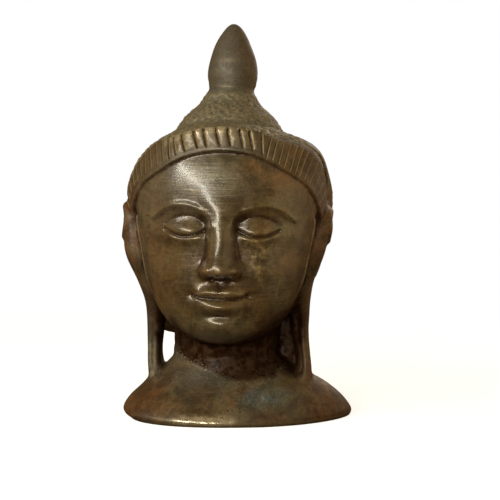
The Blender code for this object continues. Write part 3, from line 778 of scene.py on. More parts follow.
def settle(obj):
    """Replaces the object's mesh with what its modifiers make of it."""
    graph = bpy.context.evaluated_depsgraph_get()
    mesh = bpy.data.meshes.new_from_object(obj.evaluated_get(graph))
    obj.modifiers.clear()
    obj.data = mesh


def as_form(obj):
    """Takes an object's mesh back as a form and removes the object."""
    bm = bmesh.new()
    bm.from_mesh(obj.data)
    bpy.data.objects.remove(obj)
    return bm


def corners_of(mesh, what="co"):
    """The corners of a mesh, or their normals, as rows of three."""
    rows = np.empty(3 * len(mesh.vertices), np.float32)
    mesh.vertices.foreach_get(what, rows)
    return rows.reshape(-1, 3).astype(float)


def put_corners(mesh, points):
    """Moves the corners of a mesh to the points."""
    mesh.vertices.foreach_set("co", points.astype(np.float32).ravel())
    mesh.update()


def swelling(at, across, up, reach_across, reach_up, height):
    """A soft swelling, fading out beyond its reach."""
    away = (at - (across, up)) / (reach_across, reach_up)
    return height * np.exp(-(away**2).sum(axis=1))


def line(at, path, half_width, height):
    """A ridge or groove along a path, rounded across."""
    nearest = np.full(len(at), np.inf)
    path = between(path)
    for start, end in zip(path, path[1:]):
        along = end - start
        share = np.clip((at - start) @ along / (along @ along), 0, 1)
        away = at - start - share[:, None] * along
        nearest = np.minimum(nearest, (away**2).sum(axis=1))
    return height * np.exp(-nearest / half_width**2)


def crossing(value, middle, half_width, height):
    """A ridge or groove where the value passes its middle."""
    return height * np.exp(-(((value - middle) / half_width) ** 2))


def clouds(points, size, seed=0.0):
    """Smooth noise from -1 to 1, with swellings of about that size."""
    return np.array([noise.noise(Vector(point)) for point in points / size + seed])


def cells(points, size):
    """Distance to the middle of the nearest cell, as a share of the cells' size."""
    return np.array([noise.voronoi(Vector(point))[0][0] for point in points / size])


def mirrored(points):
    """The points with both sides folded onto one, so that a cut lands on either side alike."""
    return np.column_stack([np.abs(points[:, 0]), points[:, 1], points[:, 2]])


def nose(at):
    """Bridge and tip, from the base up to the root between the brows."""
    shares, widths, heights = np.transpose(between(NOSE_ROWS))
    up = (at[:, 1] - NOSE_BASE) / THIRD
    off = at[:, 0] / np.interp(up, shares, widths)
    round_off = np.clip(1 - off**2, 0, 1) ** NOSE_FULLNESS
    above_base = ease(at[:, 1], NOSE_BASE - NOSE_UNDER, NOSE_BASE + NOSE_UNDER)
    return np.interp(up, shares, heights) * round_off * above_base


def face(points):
    """How far the carved face stands out in front of the plain head."""
    at = mirrored(points)[:, [0, 2]]
    proud = nose(at)
    for sizes in FACE_SWELLINGS.values():
        proud += swelling(at, *sizes)
    for start, path, half_width, height in FACE_LINES.values():
        proud += line(at, np.array(path) + start, half_width, height)
    return proud * ease(-points[:, 1], *FACE_FRONT)


def fuller(points):
    """Swellings of the hair above the ears, not alike on the two sides."""
    return sum(height * blot(points, middle, reach) for middle, reach, height in HAIR_FULLER)


def face_edge(points):
    """A crisp line from temple to chin, with the side of the head falling away behind it."""
    at = mirrored(points)
    behind = np.array(FACE_EDGE) + FACE_SIDE_BEHIND
    return line(at, FACE_EDGE, *FACE_EDGE_LINE) + line(at, behind, *FACE_SIDE_LINE)


def ears(points):
    """Rim and hollow of each ear, and the channel down the front of each lobe."""
    at = mirrored(points)
    side = at[:, 1:]
    rim = line(side, EAR_RIM, *EAR_RIM_LINE)
    hollow = swelling(side, *EAR_HOLLOW) * (1 - rim / EAR_RIM_LINE[1])
    on_ear = ease(at[:, 0], *EAR_FROM_AXIS) * ease(at[:, 1], *EAR_FROM_FRONT)
    channels = line(points, LEFT_CHANNEL, *LEFT_CHANNEL_LINE)
    channels += line(points, RIGHT_CHANNEL, *RIGHT_CHANNEL_LINE)
    from_foot, to_ear = CHANNELS_FADE
    channels *= ease(points[:, 2], *from_foot) * (1 - ease(points[:, 2], *to_ear))
    return on_ear * (rim + hollow) + channels


def neck_folds(points):
    """Soft folds round the neck that sag to the sides."""
    x, z = points[:, 0], points[:, 2]
    folds = sum(crossing(z + NECK_SAG * x**2, fold, *NECK_LINE) for fold in NECK_FOLDS)
    return folds * (1 - ease(np.abs(x), *NECK_FADE))


def finial_lines(points):
    """Fine lines turned round the finial and its foot."""
    return sum(crossing(points[:, 2], *sizes) for sizes in FINIAL_LINES)


def notches():
    """Middle in front view, lean, half width below and above, and depth of each cut."""
    low, high = band_edges()
    middle = (low + high) / 2
    found = []
    for x, lean, kind in CUTS:
        z = np.interp(x, middle[:, 0], middle[:, 2])
        found.append((x, z, math.radians(lean), *CUT_KINDS[kind]))
    turns = np.degrees(np.arctan2(middle[:, 0], middle[:, 2] - FLANK_FOCUS))
    ends = [np.interp(cut[0], middle[:, 0], turns) for cut in (CUTS[0], CUTS[-1])]
    flanks = list(np.arange(ends[1] + FLANK_STEP, FLANK_END, FLANK_STEP))
    flanks += list(np.arange(ends[0] - FLANK_STEP, -FLANK_END, -FLANK_STEP))
    for turn in flanks:
        x, z = (np.interp(turn, turns, middle[:, axis]) for axis in (0, 2))
        found.append((x, z, math.radians(-turn), *CUT_KINDS["flank"]))
    return found


def across_band(points):
    """How far across the band each point lies, 0 at its lower edge and 1 at its upper, -1 off it,
    and how far each point on the skin just under the band is from its lower edge."""
    low, high = band_edges(BAND_SAMPLES)
    shares = np.linspace(0, 1, BAND_SAMPLES)
    tree = KDTree(len(low) * BAND_SAMPLES)
    for row, share in enumerate(shares):
        for column, point in enumerate(low + (high - low) * share):
            tree.insert(point, row * len(low) + column)
    tree.balance()
    across = np.full(len(points), -1.0)
    under = np.full(len(points), BAND_THICK)
    ahead = (points[:, 2] > BAND_LOWER[-1][2]) & (points[:, 1] < BAND_UPPER[-1][1])
    for index in np.nonzero(ahead)[0]:
        spot, found, away = tree.find(points[index])
        if found < len(low) and points[index][2] < spot[2] and away < JUST_UNDER_BAND:
            under[index] = away
        elif away < ON_BAND:
            across[index] = shares[found // len(low)]
    return across, under


def beside_cuts(x, z):
    """How far to the right of each cut, from left to right, the points lie."""
    cuts = np.array(sorted(notches()))
    off = [(x - at) * math.cos(lean) + (z - up) * math.sin(lean) for at, up, lean, *_ in cuts]
    return cuts, np.array(off)


def count_cuts(x, z):
    """Counts the cuts to the left of each point, with the share of the way on to the next one."""
    _, off = beside_cuts(x, z)
    passed = np.clip((off > 0).sum(axis=0), 1, len(off) - 1)
    spots = np.arange(len(x))
    left, right = off[passed - 1, spots], -off[passed, spots]
    return passed + np.clip(left / np.maximum(left + right, LEAST_GAP), *PAST_LAST_CUTS)


def cut_strength(x, share):
    """How deep the cuts go in: none on the plain edge, and faint on the far right."""
    plain = BAND_PLAIN * (1 - MOSTLY * ease(x, *BAND_PLAIN_ENDS))
    chamfer = ease(share, *CHAMFER) * ease(x, *CHAMFER_FROM)
    faint = 1 - CUTS_FAINTER * ease(x, *CUTS_FADE)
    return ease(share, plain, CUT_RUNS_IN * plain) * (1 - chamfer) * faint


def flutes(points, across, under):
    """The band stepped up from the forehead, the cuts across it and the line that ends them."""
    on_band = across >= 0
    x, z, share = points[on_band, 0], points[on_band, 2], across[on_band]
    deepest = np.zeros(len(x))
    for (*_, low_width, high_width, depth), off in zip(*beside_cuts(x, z)):
        width = low_width + (high_width - low_width) * share
        here = depth * (CUT_DEPTHS[0] + CUT_DEPTHS[1] * share)
        deepest = np.maximum(deepest, here * np.clip(1 - np.abs(off) / width, 0, 1))
    stepped = ease(points[:, 2], *BAND_STEP_FROM)
    stepped *= 1 - MOSTLY * ease(points[:, 0], *BAND_STEP_TO)
    carved = stepped * crossing(under, *UNDER_BAND)
    line_left = crossing(share, BAND_PLAIN, *BAND_LINE) * (1 - ease(x, *BAND_PLAIN_ENDS))
    start, end, height = BAND_SHOULDER
    carved[on_band] = stepped[on_band] * (BAND_STEP + line_left)
    carved[on_band] += height * ease(share, start, end) ** 2
    carved[on_band] -= deepest * cut_strength(x, share)
    return carved


def region(points, name):
    """How far each point lies inside a region of the skin."""
    found = np.zeros(len(points))
    for strength, *fades in REGIONS[name]:
        inside = strength * np.ones(len(points))
        for axis, outside, full in fades:
            inside *= ease(points[:, axis], outside, full)
        found += inside
    return found


def hair_mask(points):
    """1 on the stippled hair above and behind the band, 0 elsewhere."""
    edge = between(BAND_UPPER)
    start, along = edge[0], edge[-1] - edge[0]
    up = np.array([0.0, -along[2], along[1]]) / math.hypot(along[1], along[2])
    rises = (edge - start) @ up
    behind = (points - start) @ up - np.interp(np.abs(points[:, 0]), edge[:, 0], rises)
    smooth = region(points, "smooth hair")
    on_ear = region(mirrored(points), "ear")
    return ease(behind, *HAIR_FROM_BAND) * region(points, "hair") * (1 - on_ear) * (1 - smooth)


def curls(points, hair):
    """Small worm-like curls stippled into the hair."""
    lift = np.zeros(len(points))
    there = hair > 0
    at = points[there]
    warp = np.column_stack([clouds(at, CURL_BEND, seed) for seed in CURL_SEEDS])
    beads = CURL_GRAIN_LEVEL - cells(at + CURL_GRAIN_BENT * warp, CURL_GRAIN)
    worms = clouds(at + CURL_STRAND_BENT * warp, CURL_STRAND, CURL_STRAND_SEED)
    lift[there] = hair[there] * (beads + CURL_STRAND_SHARE * (1 - 2 * np.abs(worms)))
    return lift


def carve(obj, sizes):
    """Works the face forward out of the plain head, then cuts the rest square to the surface."""
    points = corners_of(obj.data)
    points[:, 1] -= face(points)
    put_corners(obj.data, points)
    normals = corners_of(obj.data, "normal")
    hair = hair_mask(points)
    lift = face_edge(points) + ears(points) + neck_folds(points)
    lift += finial_lines(points) + flutes(points, *across_band(points)) + fuller(points)
    lift += sizes.curl * curls(points, hair)
    wavier = 1 + ease(points[:, 2], *WAVIER_FROM)
    lift += sizes.waviness * wavier * clouds(points, *WAVES)
    put_corners(obj.data, points + normals * lift[:, None])


def thin_out(obj, facets):
    """Keeps only as many facets as the shape needs."""
    obj.data.calc_loop_triangles()
    decimate = obj.modifiers.new("Facets", "DECIMATE")
    decimate.ratio = min(1.0, facets / len(obj.data.loop_triangles))
    settle(obj)


def stand_flat(obj, grain):
    """Cuts the foot off level at z = 0, brings the whole to its height and keeps it in its box."""
    bm = bmesh.new()
    bm.from_mesh(obj.data)
    cut = bmesh.ops.bisect_plane(
        bm,
        geom=bm.verts[:] + bm.edges[:] + bm.faces[:],
        dist=grain / 3,
        use_snap_center=True,
        plane_co=(0, 0, 0),
        plane_no=(0, 0, 1),
        clear_inner=True,
    )["geom_cut"]
    rim = [item for item in cut if isinstance(item, bmesh.types.BMEdge)]
    bmesh.ops.contextual_create(bm, geom=rim)
    bmesh.ops.triangulate(bm, faces=[item for item in bm.faces if len(item.verts) > 4])
    bmesh.ops.recalc_face_normals(bm, faces=bm.faces)
    top = max(corner.co.z for corner in bm.verts)
    bmesh.ops.transform(bm, matrix=Matrix.Scale(HEIGHT / top, 4), verts=bm.verts)
    bm.to_mesh(obj.data)
    bm.free()
    put_corners(obj.data, np.clip(corners_of(obj.data), CAD_BOX[0], CAD_BOX[1]))


def standing_out(mesh, passes):
    """How far each corner stands out of the surface round it, averaged over so many rings."""
    ends = np.empty(2 * len(mesh.edges), np.int32)
    mesh.edges.foreach_get("vertices", ends)
    here, there = ends.reshape(-1, 2).T
    count = len(mesh.vertices)
    meeting = np.bincount(here, minlength=count) + np.bincount(there, minlength=count)
    points = corners_of(mesh)
    mean = points.copy()
    for _ in range(passes):
        for axis in range(3):
            sums = np.bincount(here, mean[there, axis], count)
            sums += np.bincount(there, mean[here, axis], count)
            mean[:, axis] = sums / meeting
    return ((points - mean) * corners_of(mesh, "normal")).sum(axis=1) * PARTS / HEIGHT


def keep(mesh, name, values):
    """Stores a value for each corner, which the patina reads by name."""
    attribute = mesh.attributes.new(name, "FLOAT", "POINT")
    attribute.data.foreach_set("value", np.clip(values, 0, 1).astype(np.float32))


def blot(points, middle, reach):
    """A soft spot on the surface, 1 in its middle."""
    away = (points - middle) / reach
    return np.exp(-(away**2).sum(axis=1))


def read_cuts(mesh, points):
    """Stores where the cuts of the band run, so that the patina can paint shadow in their cores and
    a highlight on one side.
    """
    across, under = across_band(points)
    x, _, z = points.T
    count = mesh.attributes.new("cut_count", "FLOAT", "POINT")
    count.data.foreach_set("value", count_cuts(x, z).astype(np.float32))
    depth = cut_strength(x, across) * (across >= 0)
    keep(mesh, "cut_depth", depth)
    keep(mesh, "cut_shade", depth * region(points, "shaded cuts"))
    # The skin just under the band is painted dark, as the shade of the band's step
    line_left = ease(z, *BAND_STEP_FROM) * (1 - ease(x, *BAND_STEP_TO))
    keep(mesh, "under_band", line_left * crossing(under, *UNDER_SHADE))
    return across


def read_relief(mesh, stippled):
    """Stores where the skin stands out and is worn, and where it lies back and is darkened with
    dirt and painted shade.
    """
    close, wide = standing_out(mesh, CLOSE_RINGS), standing_out(mesh, WIDE_RINGS)
    start, end = (plain + (hair - plain) * stippled for plain, hair in zip(WORN, WORN_HAIR))
    keep(mesh, "worn", ease(close, start, end))
    sheltered = -close / SHELTERED_CLOSE - wide / SHELTERED_WIDE
    keep(mesh, "sheltered", sheltered * (1 - SHELTERED_HAIR * stippled))


def stained(points, name):
    """How strong the stain is at each point."""
    return sum(strength * blot(points, middle, reach) for middle, reach, strength in STAINS[name])


def read_surface(mesh):
    """Stores where the casting is worn, stippled, polished, handled and stained, and its painted
    shade and highlights.
    """
    points = corners_of(mesh) * PARTS / HEIGHT
    x, y, z = points.T
    across = read_cuts(mesh, points)
    on_band = across >= 0
    stippled = hair_mask(points)
    keep(mesh, "stippled", stippled)
    read_relief(mesh, stippled)
    # The neck under the chin is painted dark as shade, down to a drawn edge
    over_edge = z - np.interp(x, *np.transpose(SHADE_EDGE))
    painted_shade = ease(over_edge, *SHADE_FRINGE) * region(points, "sooty neck")
    painted_shade += region(points, "painted_shade") + stained(points, "painted_shade")
    keep(mesh, "painted_shade", painted_shade)
    dusty = crossing(over_edge, *DUST) * region(points, "dusty")
    keep(mesh, "dusty", dusty * (y < DUST_IN_FRONT_OF) * (z < DUST_BELOW))
    brushed = region(points, "polished band")
    brushed *= np.where(across < BAND_LIP, BAND_LIP_POLISH, BAND_POLISH)
    polished = np.where(on_band, brushed, region(points, "polished"))
    polished *= 1 - SHADE_DULLS * np.clip(painted_shade, 0, 1)
    rim = crossing(z, *RIM) * region(points, "rim")
    keep(mesh, "polished", polished + RIM_POLISH * rim)
    # The band's top edge, the foot's rim, the finial and the face edge are painted pale, as wear
    # and as highlights
    rubbed_and_highlight = crossing(across, *RUBBED_AND_HIGHLIT_BAND) * region(points, "rubbed band")
    rubbed_and_highlight += rim * crossing(z, *RUBBED_AND_HIGHLIT_RIM) + stained(points, "rubbed_and_highlight")
    rubbed_and_highlight += ease(face_edge(points), *RUBBED_AND_HIGHLIT_FACE) * region(points, "rubbed face")
    keep(mesh, "rubbed_and_highlight", rubbed_and_highlight)
    keep(mesh, "handled", region(points, "handled") + stained(points, "handled"))
    # The greyer skin includes a painted sheen on the lit left of the forehead
    keep(mesh, "greyed_and_sheen", region(points, "greyed_and_sheen") * ~on_band + stained(points, "greyed_and_sheen"))
    for name in ("bared", "bloom", "crusted", "rusty"):
        keep(mesh, name, stained(points, name))


def node(tree, kind, inputs=None, **settings):
    """A shader node with its settings, and its inputs set to values or joined to sockets."""
    made = tree.nodes.new(kind)
    for name, value in settings.items():
        setattr(made, name, value)
    for name, value in (inputs or {}).items():
        if isinstance(value, bpy.types.NodeSocket):
            tree.links.new(value, made.inputs[name])
        else:
            made.inputs[name].default_value = value
    return made


def mix(tree, factor, first, second, blend="MIX"):
    """The first colour, with the second laid over it by the factor."""
    inputs = {0: factor, 6: first, 7: second}
    return node(tree, "ShaderNodeMix", inputs, data_type="RGBA", blend_type=blend).outputs[2]


def maths(tree, operation, first, second=0.0, clamped=True):
    """The outcome of an operation on two values, kept between 0 and 1 unless told otherwise."""
    inputs = {0: first, 1: second}
    return node(tree, "ShaderNodeMath", inputs, operation=operation, use_clamp=clamped).outputs[0]


def span(tree, value, name):
    """The value brought over its named span."""
    return spread(tree, value, *SPANS[name])


def times(tree, first, second):
    """One value by another, kept between 0 and 1."""
    return maths(tree, "MULTIPLY", first, second)


def most(tree, highest, *others):
    """The highest of the values."""
    for other in others:
        highest = maths(tree, "MAXIMUM", highest, other)
    return highest


def spread(tree, value, low, high, to_low=0.0, to_high=1.0):
    """The value brought from one range to another."""
    inputs = {0: value, 1: low, 2: high, 3: to_low, 4: to_high}
    return node(tree, "ShaderNodeMapRange", inputs, interpolation_type="SMOOTHSTEP").outputs[0]


def ridge(tree, value, middle, half_width):
    """1 where the value is at its middle, 0 beyond the half width."""
    off = maths(tree, "SUBTRACT", value, middle, clamped=False)
    return spread(tree, maths(tree, "ABSOLUTE", off), 0.0, half_width, 1.0, 0.0)


def noisy(tree, place, scale, detail, roughness=0.5, distortion=0.0):
    """Noise from 0 to 1."""
    inputs = {"Vector": place, "Scale": scale, "Detail": detail}
    inputs.update({"Roughness": roughness, "Distortion": distortion})
    return node(tree, "ShaderNodeTexNoise", inputs).outputs["Fac"]


def specks(tree, place, scale):
    """Distance from 0 to 1 to the nearest of many scattered spots."""
    inputs = {"Vector": place, "Scale": scale}
    return node(tree, "ShaderNodeTexVoronoi", inputs).outputs["Distance"]


def stored(tree, name):
    """A mask that was stored on the casting."""
    return node(tree, "ShaderNodeAttribute", attribute_name=name).outputs["Fac"]


def group(name, measure, value, *outputs):
    """An empty node group that takes a place and one measure, with the nodes at its two ends."""
    tree = bpy.data.node_groups.new(name, "ShaderNodeTree")
    tree.interface.new_socket("Vector", in_out="INPUT", socket_type="NodeSocketVector")
    socket = tree.interface.new_socket(measure, in_out="INPUT", socket_type="NodeSocketFloat")
    socket.default_value = value
    for label in outputs:
        tree.interface.new_socket(label, in_out="OUTPUT", socket_type="NodeSocketFloat")
    given, result = tree.nodes.new("NodeGroupInput"), tree.nodes.new("NodeGroupOutput")
    return tree, given.outputs["Vector"], given.outputs[measure], result.inputs


def mottling():
    """Patina in clouds, in blotches, in a fine breakup and in a grain finer still."""
    names = [name.capitalize() for name in MOTTLES]
    tree, place, scale, result = group("Mottling", "Scale", MOTTLING_SCALE, *names, "Grain")
    for name, (multiple, *sizes) in MOTTLES.items():
        finer = maths(tree, "MULTIPLY", scale, multiple, clamped=False)
        mottle = noisy(tree, place, finer, *sizes)
        tree.links.new(span(tree, mottle, name), result[name.capitalize()])
    tree.links.new(noisy(tree, place, *FINEST), result["Grain"])
    return tree


def brush_marks():
    """Fine marks left by a wire brush, drawn out sideways."""
    tree, place, fineness, result = group("Brush marks", "Fineness", 1.0, "Marks")
    stretched = node(tree, "ShaderNodeMapping", {"Vector": place, **BRUSH_STRETCH}).outputs[0]
    tree.links.new(noisy(tree, stretched, fineness, *BRUSH_DETAIL), result["Marks"])
    return tree


def casting_pits():
    """Sparse pinholes and specks of the casting."""
    tree, place, scale, result = group("Casting pits", "Scale", PIT_SCALE, "Pit")
    pit = span(tree, specks(tree, place, scale), "pit")
    patches = span(tree, noisy(tree, place, *PIT_PATCHES), "pitted")
    tree.links.new(times(tree, pit, patches), result["Pit"])
    return tree


def scratches():
    """Sparse thin curved scratches."""
    tree, place, scale, result = group("Scratches", "Scale", SCRATCH_SCALE, "Scratch")
    bend = noisy(tree, place, scale, SCRATCH_DETAIL)
    thin = most(tree, *(ridge(tree, bend, *sizes) for sizes in SCRATCHES))
    patches = span(tree, noisy(tree, place, *SCRATCH_PATCHES), "scratched")
    tree.links.new(times(tree, thin, patches), result["Scratch"])
    return tree


def part(tree, masks, name, layer=None):
    """As much of a mask as its layer takes."""
    return times(tree, masks[name], STRENGTHS[layer or name])


def cut_edges(tree, masks):
    """Painted shadow in the core of each cut across the band, and a bright burr with a painted
    highlight along one side.
    """
    # A cut lies on each whole count, which half a count more brings to the middle of the way
    shifted = maths(tree, "ADD", masks["cut_count"], 0.5, clamped=False)
    way_on = maths(tree, "FRACT", shifted, clamped=False)
    shade, depth = (span(tree, masks[name], name) for name in ("cut_shade", "cut_depth"))
    shadowed_core, burr_and_glint = (ridge(tree, way_on, *sizes) for sizes in (SHADOWED_CORE, BURR_AND_GLINT))
    return times(tree, shade, shadowed_core), times(tree, depth, burr_and_glint)


def dirtied_and_shaded(tree, masks):
    """Dirt and painted shade in the recesses, dirt in the pits, and painted shade in the cuts,
    under the band and the chin.
    """
    held = {name: span(tree, masks["breakup"], name) for name in ("sheltered", "painted_shade")}
    dirt_and_shade = [times(tree, masks[name], share) for name, share in held.items()]
    dirt_and_shade += [part(tree, masks, name) for name in ("pit", "shadowed_core", "under_band")]
    return most(tree, *dirt_and_shade)


def grains(tree, masks):
    """Grain and blotches to multiply the colour by, calmer on the hair and where it is greyed with
    a painted sheen.
    """
    calm = most(tree, masks["greyed_and_sheen"], masks["stippled"])
    ends = (span(tree, calm, name) for name in ("darkest", "lightest"))
    blotch = spread(tree, masks["blotch"], 0.0, 1.0, *ends)
    grain = span(tree, masks["grain"], "grain")
    grain = maths(tree, "MULTIPLY", grain, blotch, clamped=False)
    return node(tree, "ShaderNodeCombineColor", {0: grain, 1: grain, 2: grain}).outputs[0]


def laid_over(tree, colour, colours, layers):
    """The colour with layers over it, each a cover and the name of its own colour."""
    for cover, name in layers:
        colour = mix(tree, cover, colour, (*getattr(colours, name), 1.0))
    return colour


def painted(tree, masks, colours, place):
    """The colours of the patina, from the clouded skin up to the dust, with painted shade and
    highlights among them.
    """

    def broken_by(name, by="broken"):
        return times(tree, masks[name], span(tree, masks["breakup"], by))

    skin = (
        (masks["cloud"], "olive"),
        (masks["greyed_and_sheen"], "pewter"),
        (part(tree, masks, "stippled", "ash"), "ash"),
        (broken_by("handled"), "russet"),
        (broken_by("bared", "bared"), "gold"),
        (broken_by("rusty"), "rust"),
        (broken_by("bloom"), "slate"),
        (broken_by("crusted", "crusted"), "verdigris"),
    )
    colour = laid_over(tree, (*colours.brown, 1.0), colours, skin)
    colour = mix(tree, 1.0, colour, grains(tree, masks), "MULTIPLY")
    streak = times(tree, span(tree, masks["marks"], "streak"), masks["polished"])
    worn = times(tree, masks["worn"], span(tree, masks["stippled"], "worn"))
    speck = span(tree, specks(tree, place, SPECK_SCALE), "speck")
    speck = times(tree, speck, span(tree, masks["breakup"], "specked"))
    # These layers paint highlights on edges and beside the cuts, and shade in the recesses, along
    # with real wear and dust
    wear_and_painted_light = (
        (times(tree, streak, STRENGTHS["streak"]), "gold"),
        (most(tree, worn, part(tree, masks, "scratch")), "gold"),
        (masks["rubbed_and_highlight"], "bare_and_highlight"),
        (masks["dirt_and_shade"], "grime_and_shade"),
        (part(tree, masks, "burr_and_glint"), "gold"),
        (times(tree, speck, masks["dusty"]), "dust"),
    )
    return laid_over(tree, colour, colours, wear_and_painted_light)


def roughened(tree, masks):
    """Roughness of the skin: less where it is polished or rubbed bright, more in dirt and painted
    shade, and in crust.
    """
    rough = span(tree, masks["breakup"], "rough")
    for name, share in ROUGHER.items():
        operation = "ADD" if share > 0 else "SUBTRACT"
        rough = maths(tree, operation, rough, times(tree, masks[name], abs(share)))
    return rough


def textured(tree, masks, place):
    """Normal of the skin, with its grain, brush marks, pits and the cores of the cuts."""
    fine = span(tree, masks["stippled"], "fine")
    height = part(tree, masks, "marks")
    height = maths(tree, "ADD", height, times(tree, noisy(tree, place, *FINE), fine))
    height = maths(tree, "SUBTRACT", height, part(tree, masks, "pit", "pit relief"))
    bump = node(tree, "ShaderNodeBump", {"Height": height, **GRAIN_BUMP}).outputs["Normal"]
    chisel = {"Height": masks["shadowed_core"], "Normal": bump, **CHISEL_BUMP}
    return node(tree, "ShaderNodeBump", chisel, invert=True).outputs["Normal"]


def patina(colours):
    """Old brown bronze: clouded, rubbed bright on its edges with painted highlights, and darkened
    with dirt and painted shade in its recesses.
    """
    material = bpy.data.materials.new("bronze_patina")
    material.use_nodes = True
    tree = material.node_tree
    place = node(tree, "ShaderNodeTexCoord").outputs["Object"]
    masks = {name: stored(tree, name) for name in MASKS}
    for textures in (mottling(), brush_marks(), casting_pits(), scratches()):
        used = node(tree, "ShaderNodeGroup", {"Vector": place}, node_tree=textures)
        masks.update({output.name.lower(): output for output in used.outputs})
    masks["shadowed_core"], masks["burr_and_glint"] = cut_edges(tree, masks)
    broken = span(tree, masks["breakup"], "broken")
    masks["rubbed_and_highlight"] = times(tree, masks["rubbed_and_highlight"], broken)
    # The dirt mask also carries the painted shade
    masks["dirt_and_shade"] = dirtied_and_shaded(tree, masks)
    metal, coat = part(tree, masks, "rubbed_and_highlight", "metal"), part(tree, masks, "polished", "coat")
    shader = tree.nodes["Principled BSDF"]
    shader.inputs["IOR"].default_value = IOR
    shader.inputs["Coat Roughness"].default_value = COAT_ROUGHNESS
    for name, value in (
        ("Base Color", painted(tree, masks, colours, place)),
        ("Roughness", roughened(tree, masks)),
        ("Metallic", most(tree, metal, masks["dirt_and_shade"], LEAST_METAL)),
        ("Coat Weight", maths(tree, "ADD", coat, LEAST_COAT)),
        ("Normal", textured(tree, masks, place)),
    ):
        tree.links.new(value, shader.inputs[name])
    return material


class CastHead(bpy.types.Operator):
    """Casts the head in one piece, carves it and stands it on its foot"""

    bl_idname = "bronze_head.cast"
    bl_label = "Cast the Head"

    def execute(self, context):
        sizes = context.scene.casting_sizes
        plain = [upright(rows, HEAD_SQUARENESS) for rows in (HEAD_ROWS, HAIR_ROWS)]
        plain.append(upright(NECK_ROWS, NECK_SQUARENESS))
        plain += [foot(), knot(sizes.grain), ear(1), ear(-1), wall()]
        body = as_form(fuse("body", plain, sizes.grain, sizes.soft_passes))
        head = fuse(PIECE, [body, band()], sizes.grain, sizes.crisp_passes)
        carve(head, sizes)
        thin_out(head, sizes.facets)
        stand_flat(head, sizes.grain)
        head.data.shade_smooth()
        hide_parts(NODE)
        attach(head, BODY)
        return {"FINISHED"}


class PatinateHead(bpy.types.Operator):
    """Reads where the casting is worn or sheltered and gives it its patina, with painted shade and
    highlights
    """

    bl_idname = "bronze_head.patinate"
    bl_label = "Patinate the Head"

    def execute(self, context):
        head = context.scene.objects[PIECE]
        read_surface(head.data)
        head.data.materials.clear()
        head.data.materials.append(patina(context.scene.patina_colours))
        return {"FINISHED"}


def aimed(place, target):
    """Turns whatever looks down its own -Z so that it looks from place at target."""
    turn = (Vector(target) - Vector(place)).to_track_quat("-Z", "Y")
    return Matrix.Translation(place) @ turn.to_matrix().to_4x4()


def link(name, data):
    """A new object in the scene."""
    obj = bpy.data.objects.new(name, data)
    bpy.context.scene.collection.objects.link(obj)
    return obj


def floor_finish(colour):
    """Pale and matt, fading out to the bright surroundings; it throws little light back up."""
    material = bpy.data.materials.new("floor")
    material.use_nodes = True
    tree = material.node_tree
    tree.nodes.remove(tree.nodes["Principled BSDF"])
    seen = node(tree, "ShaderNodeLightPath").outputs["Is Camera Ray"]
    shade = mix(tree, seen, FLOOR_IN_METAL, (*colour, 1.0))
    matt = node(tree, "ShaderNodeBsdfDiffuse", {"Color": shade}).outputs[0]
    lift = times(tree, seen, FLOOR_LIFT)
    glow = node(tree, "ShaderNodeEmission", {"Strength": lift}).outputs[0]
    matt = node(tree, "ShaderNodeAddShader", {0: matt, 1: glow}).outputs[0]
    clear = node(tree, "ShaderNodeBsdfTransparent").outputs[0]
    place = node(tree, "ShaderNodeTexCoord").outputs["Object"]
    away = node(tree, "ShaderNodeVectorMath", {0: place}, operation="LENGTH").outputs["Value"]
    fade = spread(tree, away, *FLOOR_FADE)
    whole = node(tree, "ShaderNodeMixShader", {0: fade, 1: matt, 2: clear}).outputs[0]
    tree.links.new(whole, tree.nodes["Material Output"].inputs["Surface"])
    return material


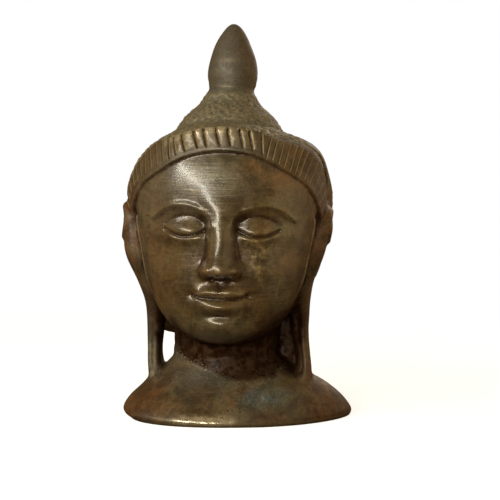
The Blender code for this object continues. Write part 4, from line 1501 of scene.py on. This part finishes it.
class SetStage(bpy.types.Operator):
    """Lays the pale floor, hangs the lamps and sets up the camera"""

    bl_idname = "bronze_head.set_stage"
    bl_label = "Set the Stage"

    def execute(self, context):
        settings = context.scene.stage_settings
        bm = bmesh.new()
        bmesh.ops.create_circle(bm, cap_ends=True, segments=AROUND, radius=FLOOR_RADIUS)
        mesh = bpy.data.meshes.new("floor")
        bm.to_mesh(mesh)
        bm.free()
        mesh.materials.append(floor_finish(settings.floor))
        link("floor", mesh)
        for name, (place, roll, size, power, colour) in LAMPS.items():
            lamp = bpy.data.lights.new(name, "AREA")
            lamp.shape = "RECTANGLE"
            lamp.size, lamp.size_y = size
            lamp.energy = power
            lamp.color = colour
            turned = Matrix.Rotation(math.radians(roll), 4, "Z")
            link(name, lamp).matrix_world = aimed(place, LAMP_TARGET) @ turned
        self.light_surroundings(context.scene)
        self.place_camera(context.scene, settings)
        context.scene.view_settings.view_transform = "Standard"
        return {"FINISHED"}

    def light_surroundings(self, scene):
        """White where the camera sees past the casting, dim and warm where it is mirrored."""
        scene.world = bpy.data.worlds.new("surroundings")
        scene.world.use_nodes = True
        tree = scene.world.node_tree
        seen = node(tree, "ShaderNodeLightPath").outputs["Is Camera Ray"]
        background = tree.nodes["Background"]
        colour = mix(tree, seen, AROUND_IN_METAL, WHITE)
        tree.links.new(colour, background.inputs["Color"])

    def place_camera(self, scene, settings):
        """Sets the camera before the face, turned and tipped as the settings say."""
        camera = bpy.data.cameras.new("camera")
        camera.lens = settings.lens
        camera.shift_x, camera.shift_y = CAMERA_SHIFT
        camera.clip_start = CLIP_START
        turn = Matrix.Rotation(settings.turn, 4, "Z")
        back = turn @ Vector((0.0, -settings.distance, 0.0))
        raised = Matrix.Rotation(math.radians(90), 4, "X")
        roll = Matrix.Rotation(settings.roll, 4, "Z")
        place = Matrix.Translation((back.x, back.y, settings.eye_level))
        scene.camera = link("camera", camera)
        scene.camera.matrix_world = place @ turn @ raised @ roll


class BronzeHeadPanel(bpy.types.Panel):
    """Lists the steps that make the bronze head"""

    bl_idname = "VIEW3D_PT_bronze_head"
    bl_label = "Bronze Head"
    bl_space_type = "VIEW_3D"
    bl_region_type = "UI"
    bl_category = "Bronze Head"

    def draw(self, context):
        for step in STEPS:
            self.layout.operator(step.bl_idname)
        for name, settings in SETTINGS.items():
            box = self.layout.box()
            box.label(text=name.replace("_", " ").capitalize())
            for prop in settings.__annotations__:
                box.prop(getattr(context.scene, name), prop)


STEPS = (CastHead, PatinateHead, SetStage)
SETTINGS = {
    "casting_sizes": CastingSizes,
    "patina_colours": PatinaColours,
    "stage_settings": StageSettings,
}
CLASSES = (*SETTINGS.values(), *STEPS, BronzeHeadPanel)


def register():
    """Adds the settings, operators and panel."""
    for cls in CLASSES:
        bpy.utils.register_class(cls)
    for name, settings in SETTINGS.items():
        setattr(bpy.types.Scene, name, PointerProperty(type=settings))


def unregister():
    """Takes away what register added."""
    for name in SETTINGS:
        delattr(bpy.types.Scene, name)
    for cls in reversed(CLASSES):
        bpy.utils.unregister_class(cls)


def main():
    """Casts the head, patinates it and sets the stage."""
    register()
    bpy.ops.bronze_head.cast()
    bpy.ops.bronze_head.patinate()
    bpy.ops.bronze_head.set_stage()


if __name__ == "__main__":
    main()
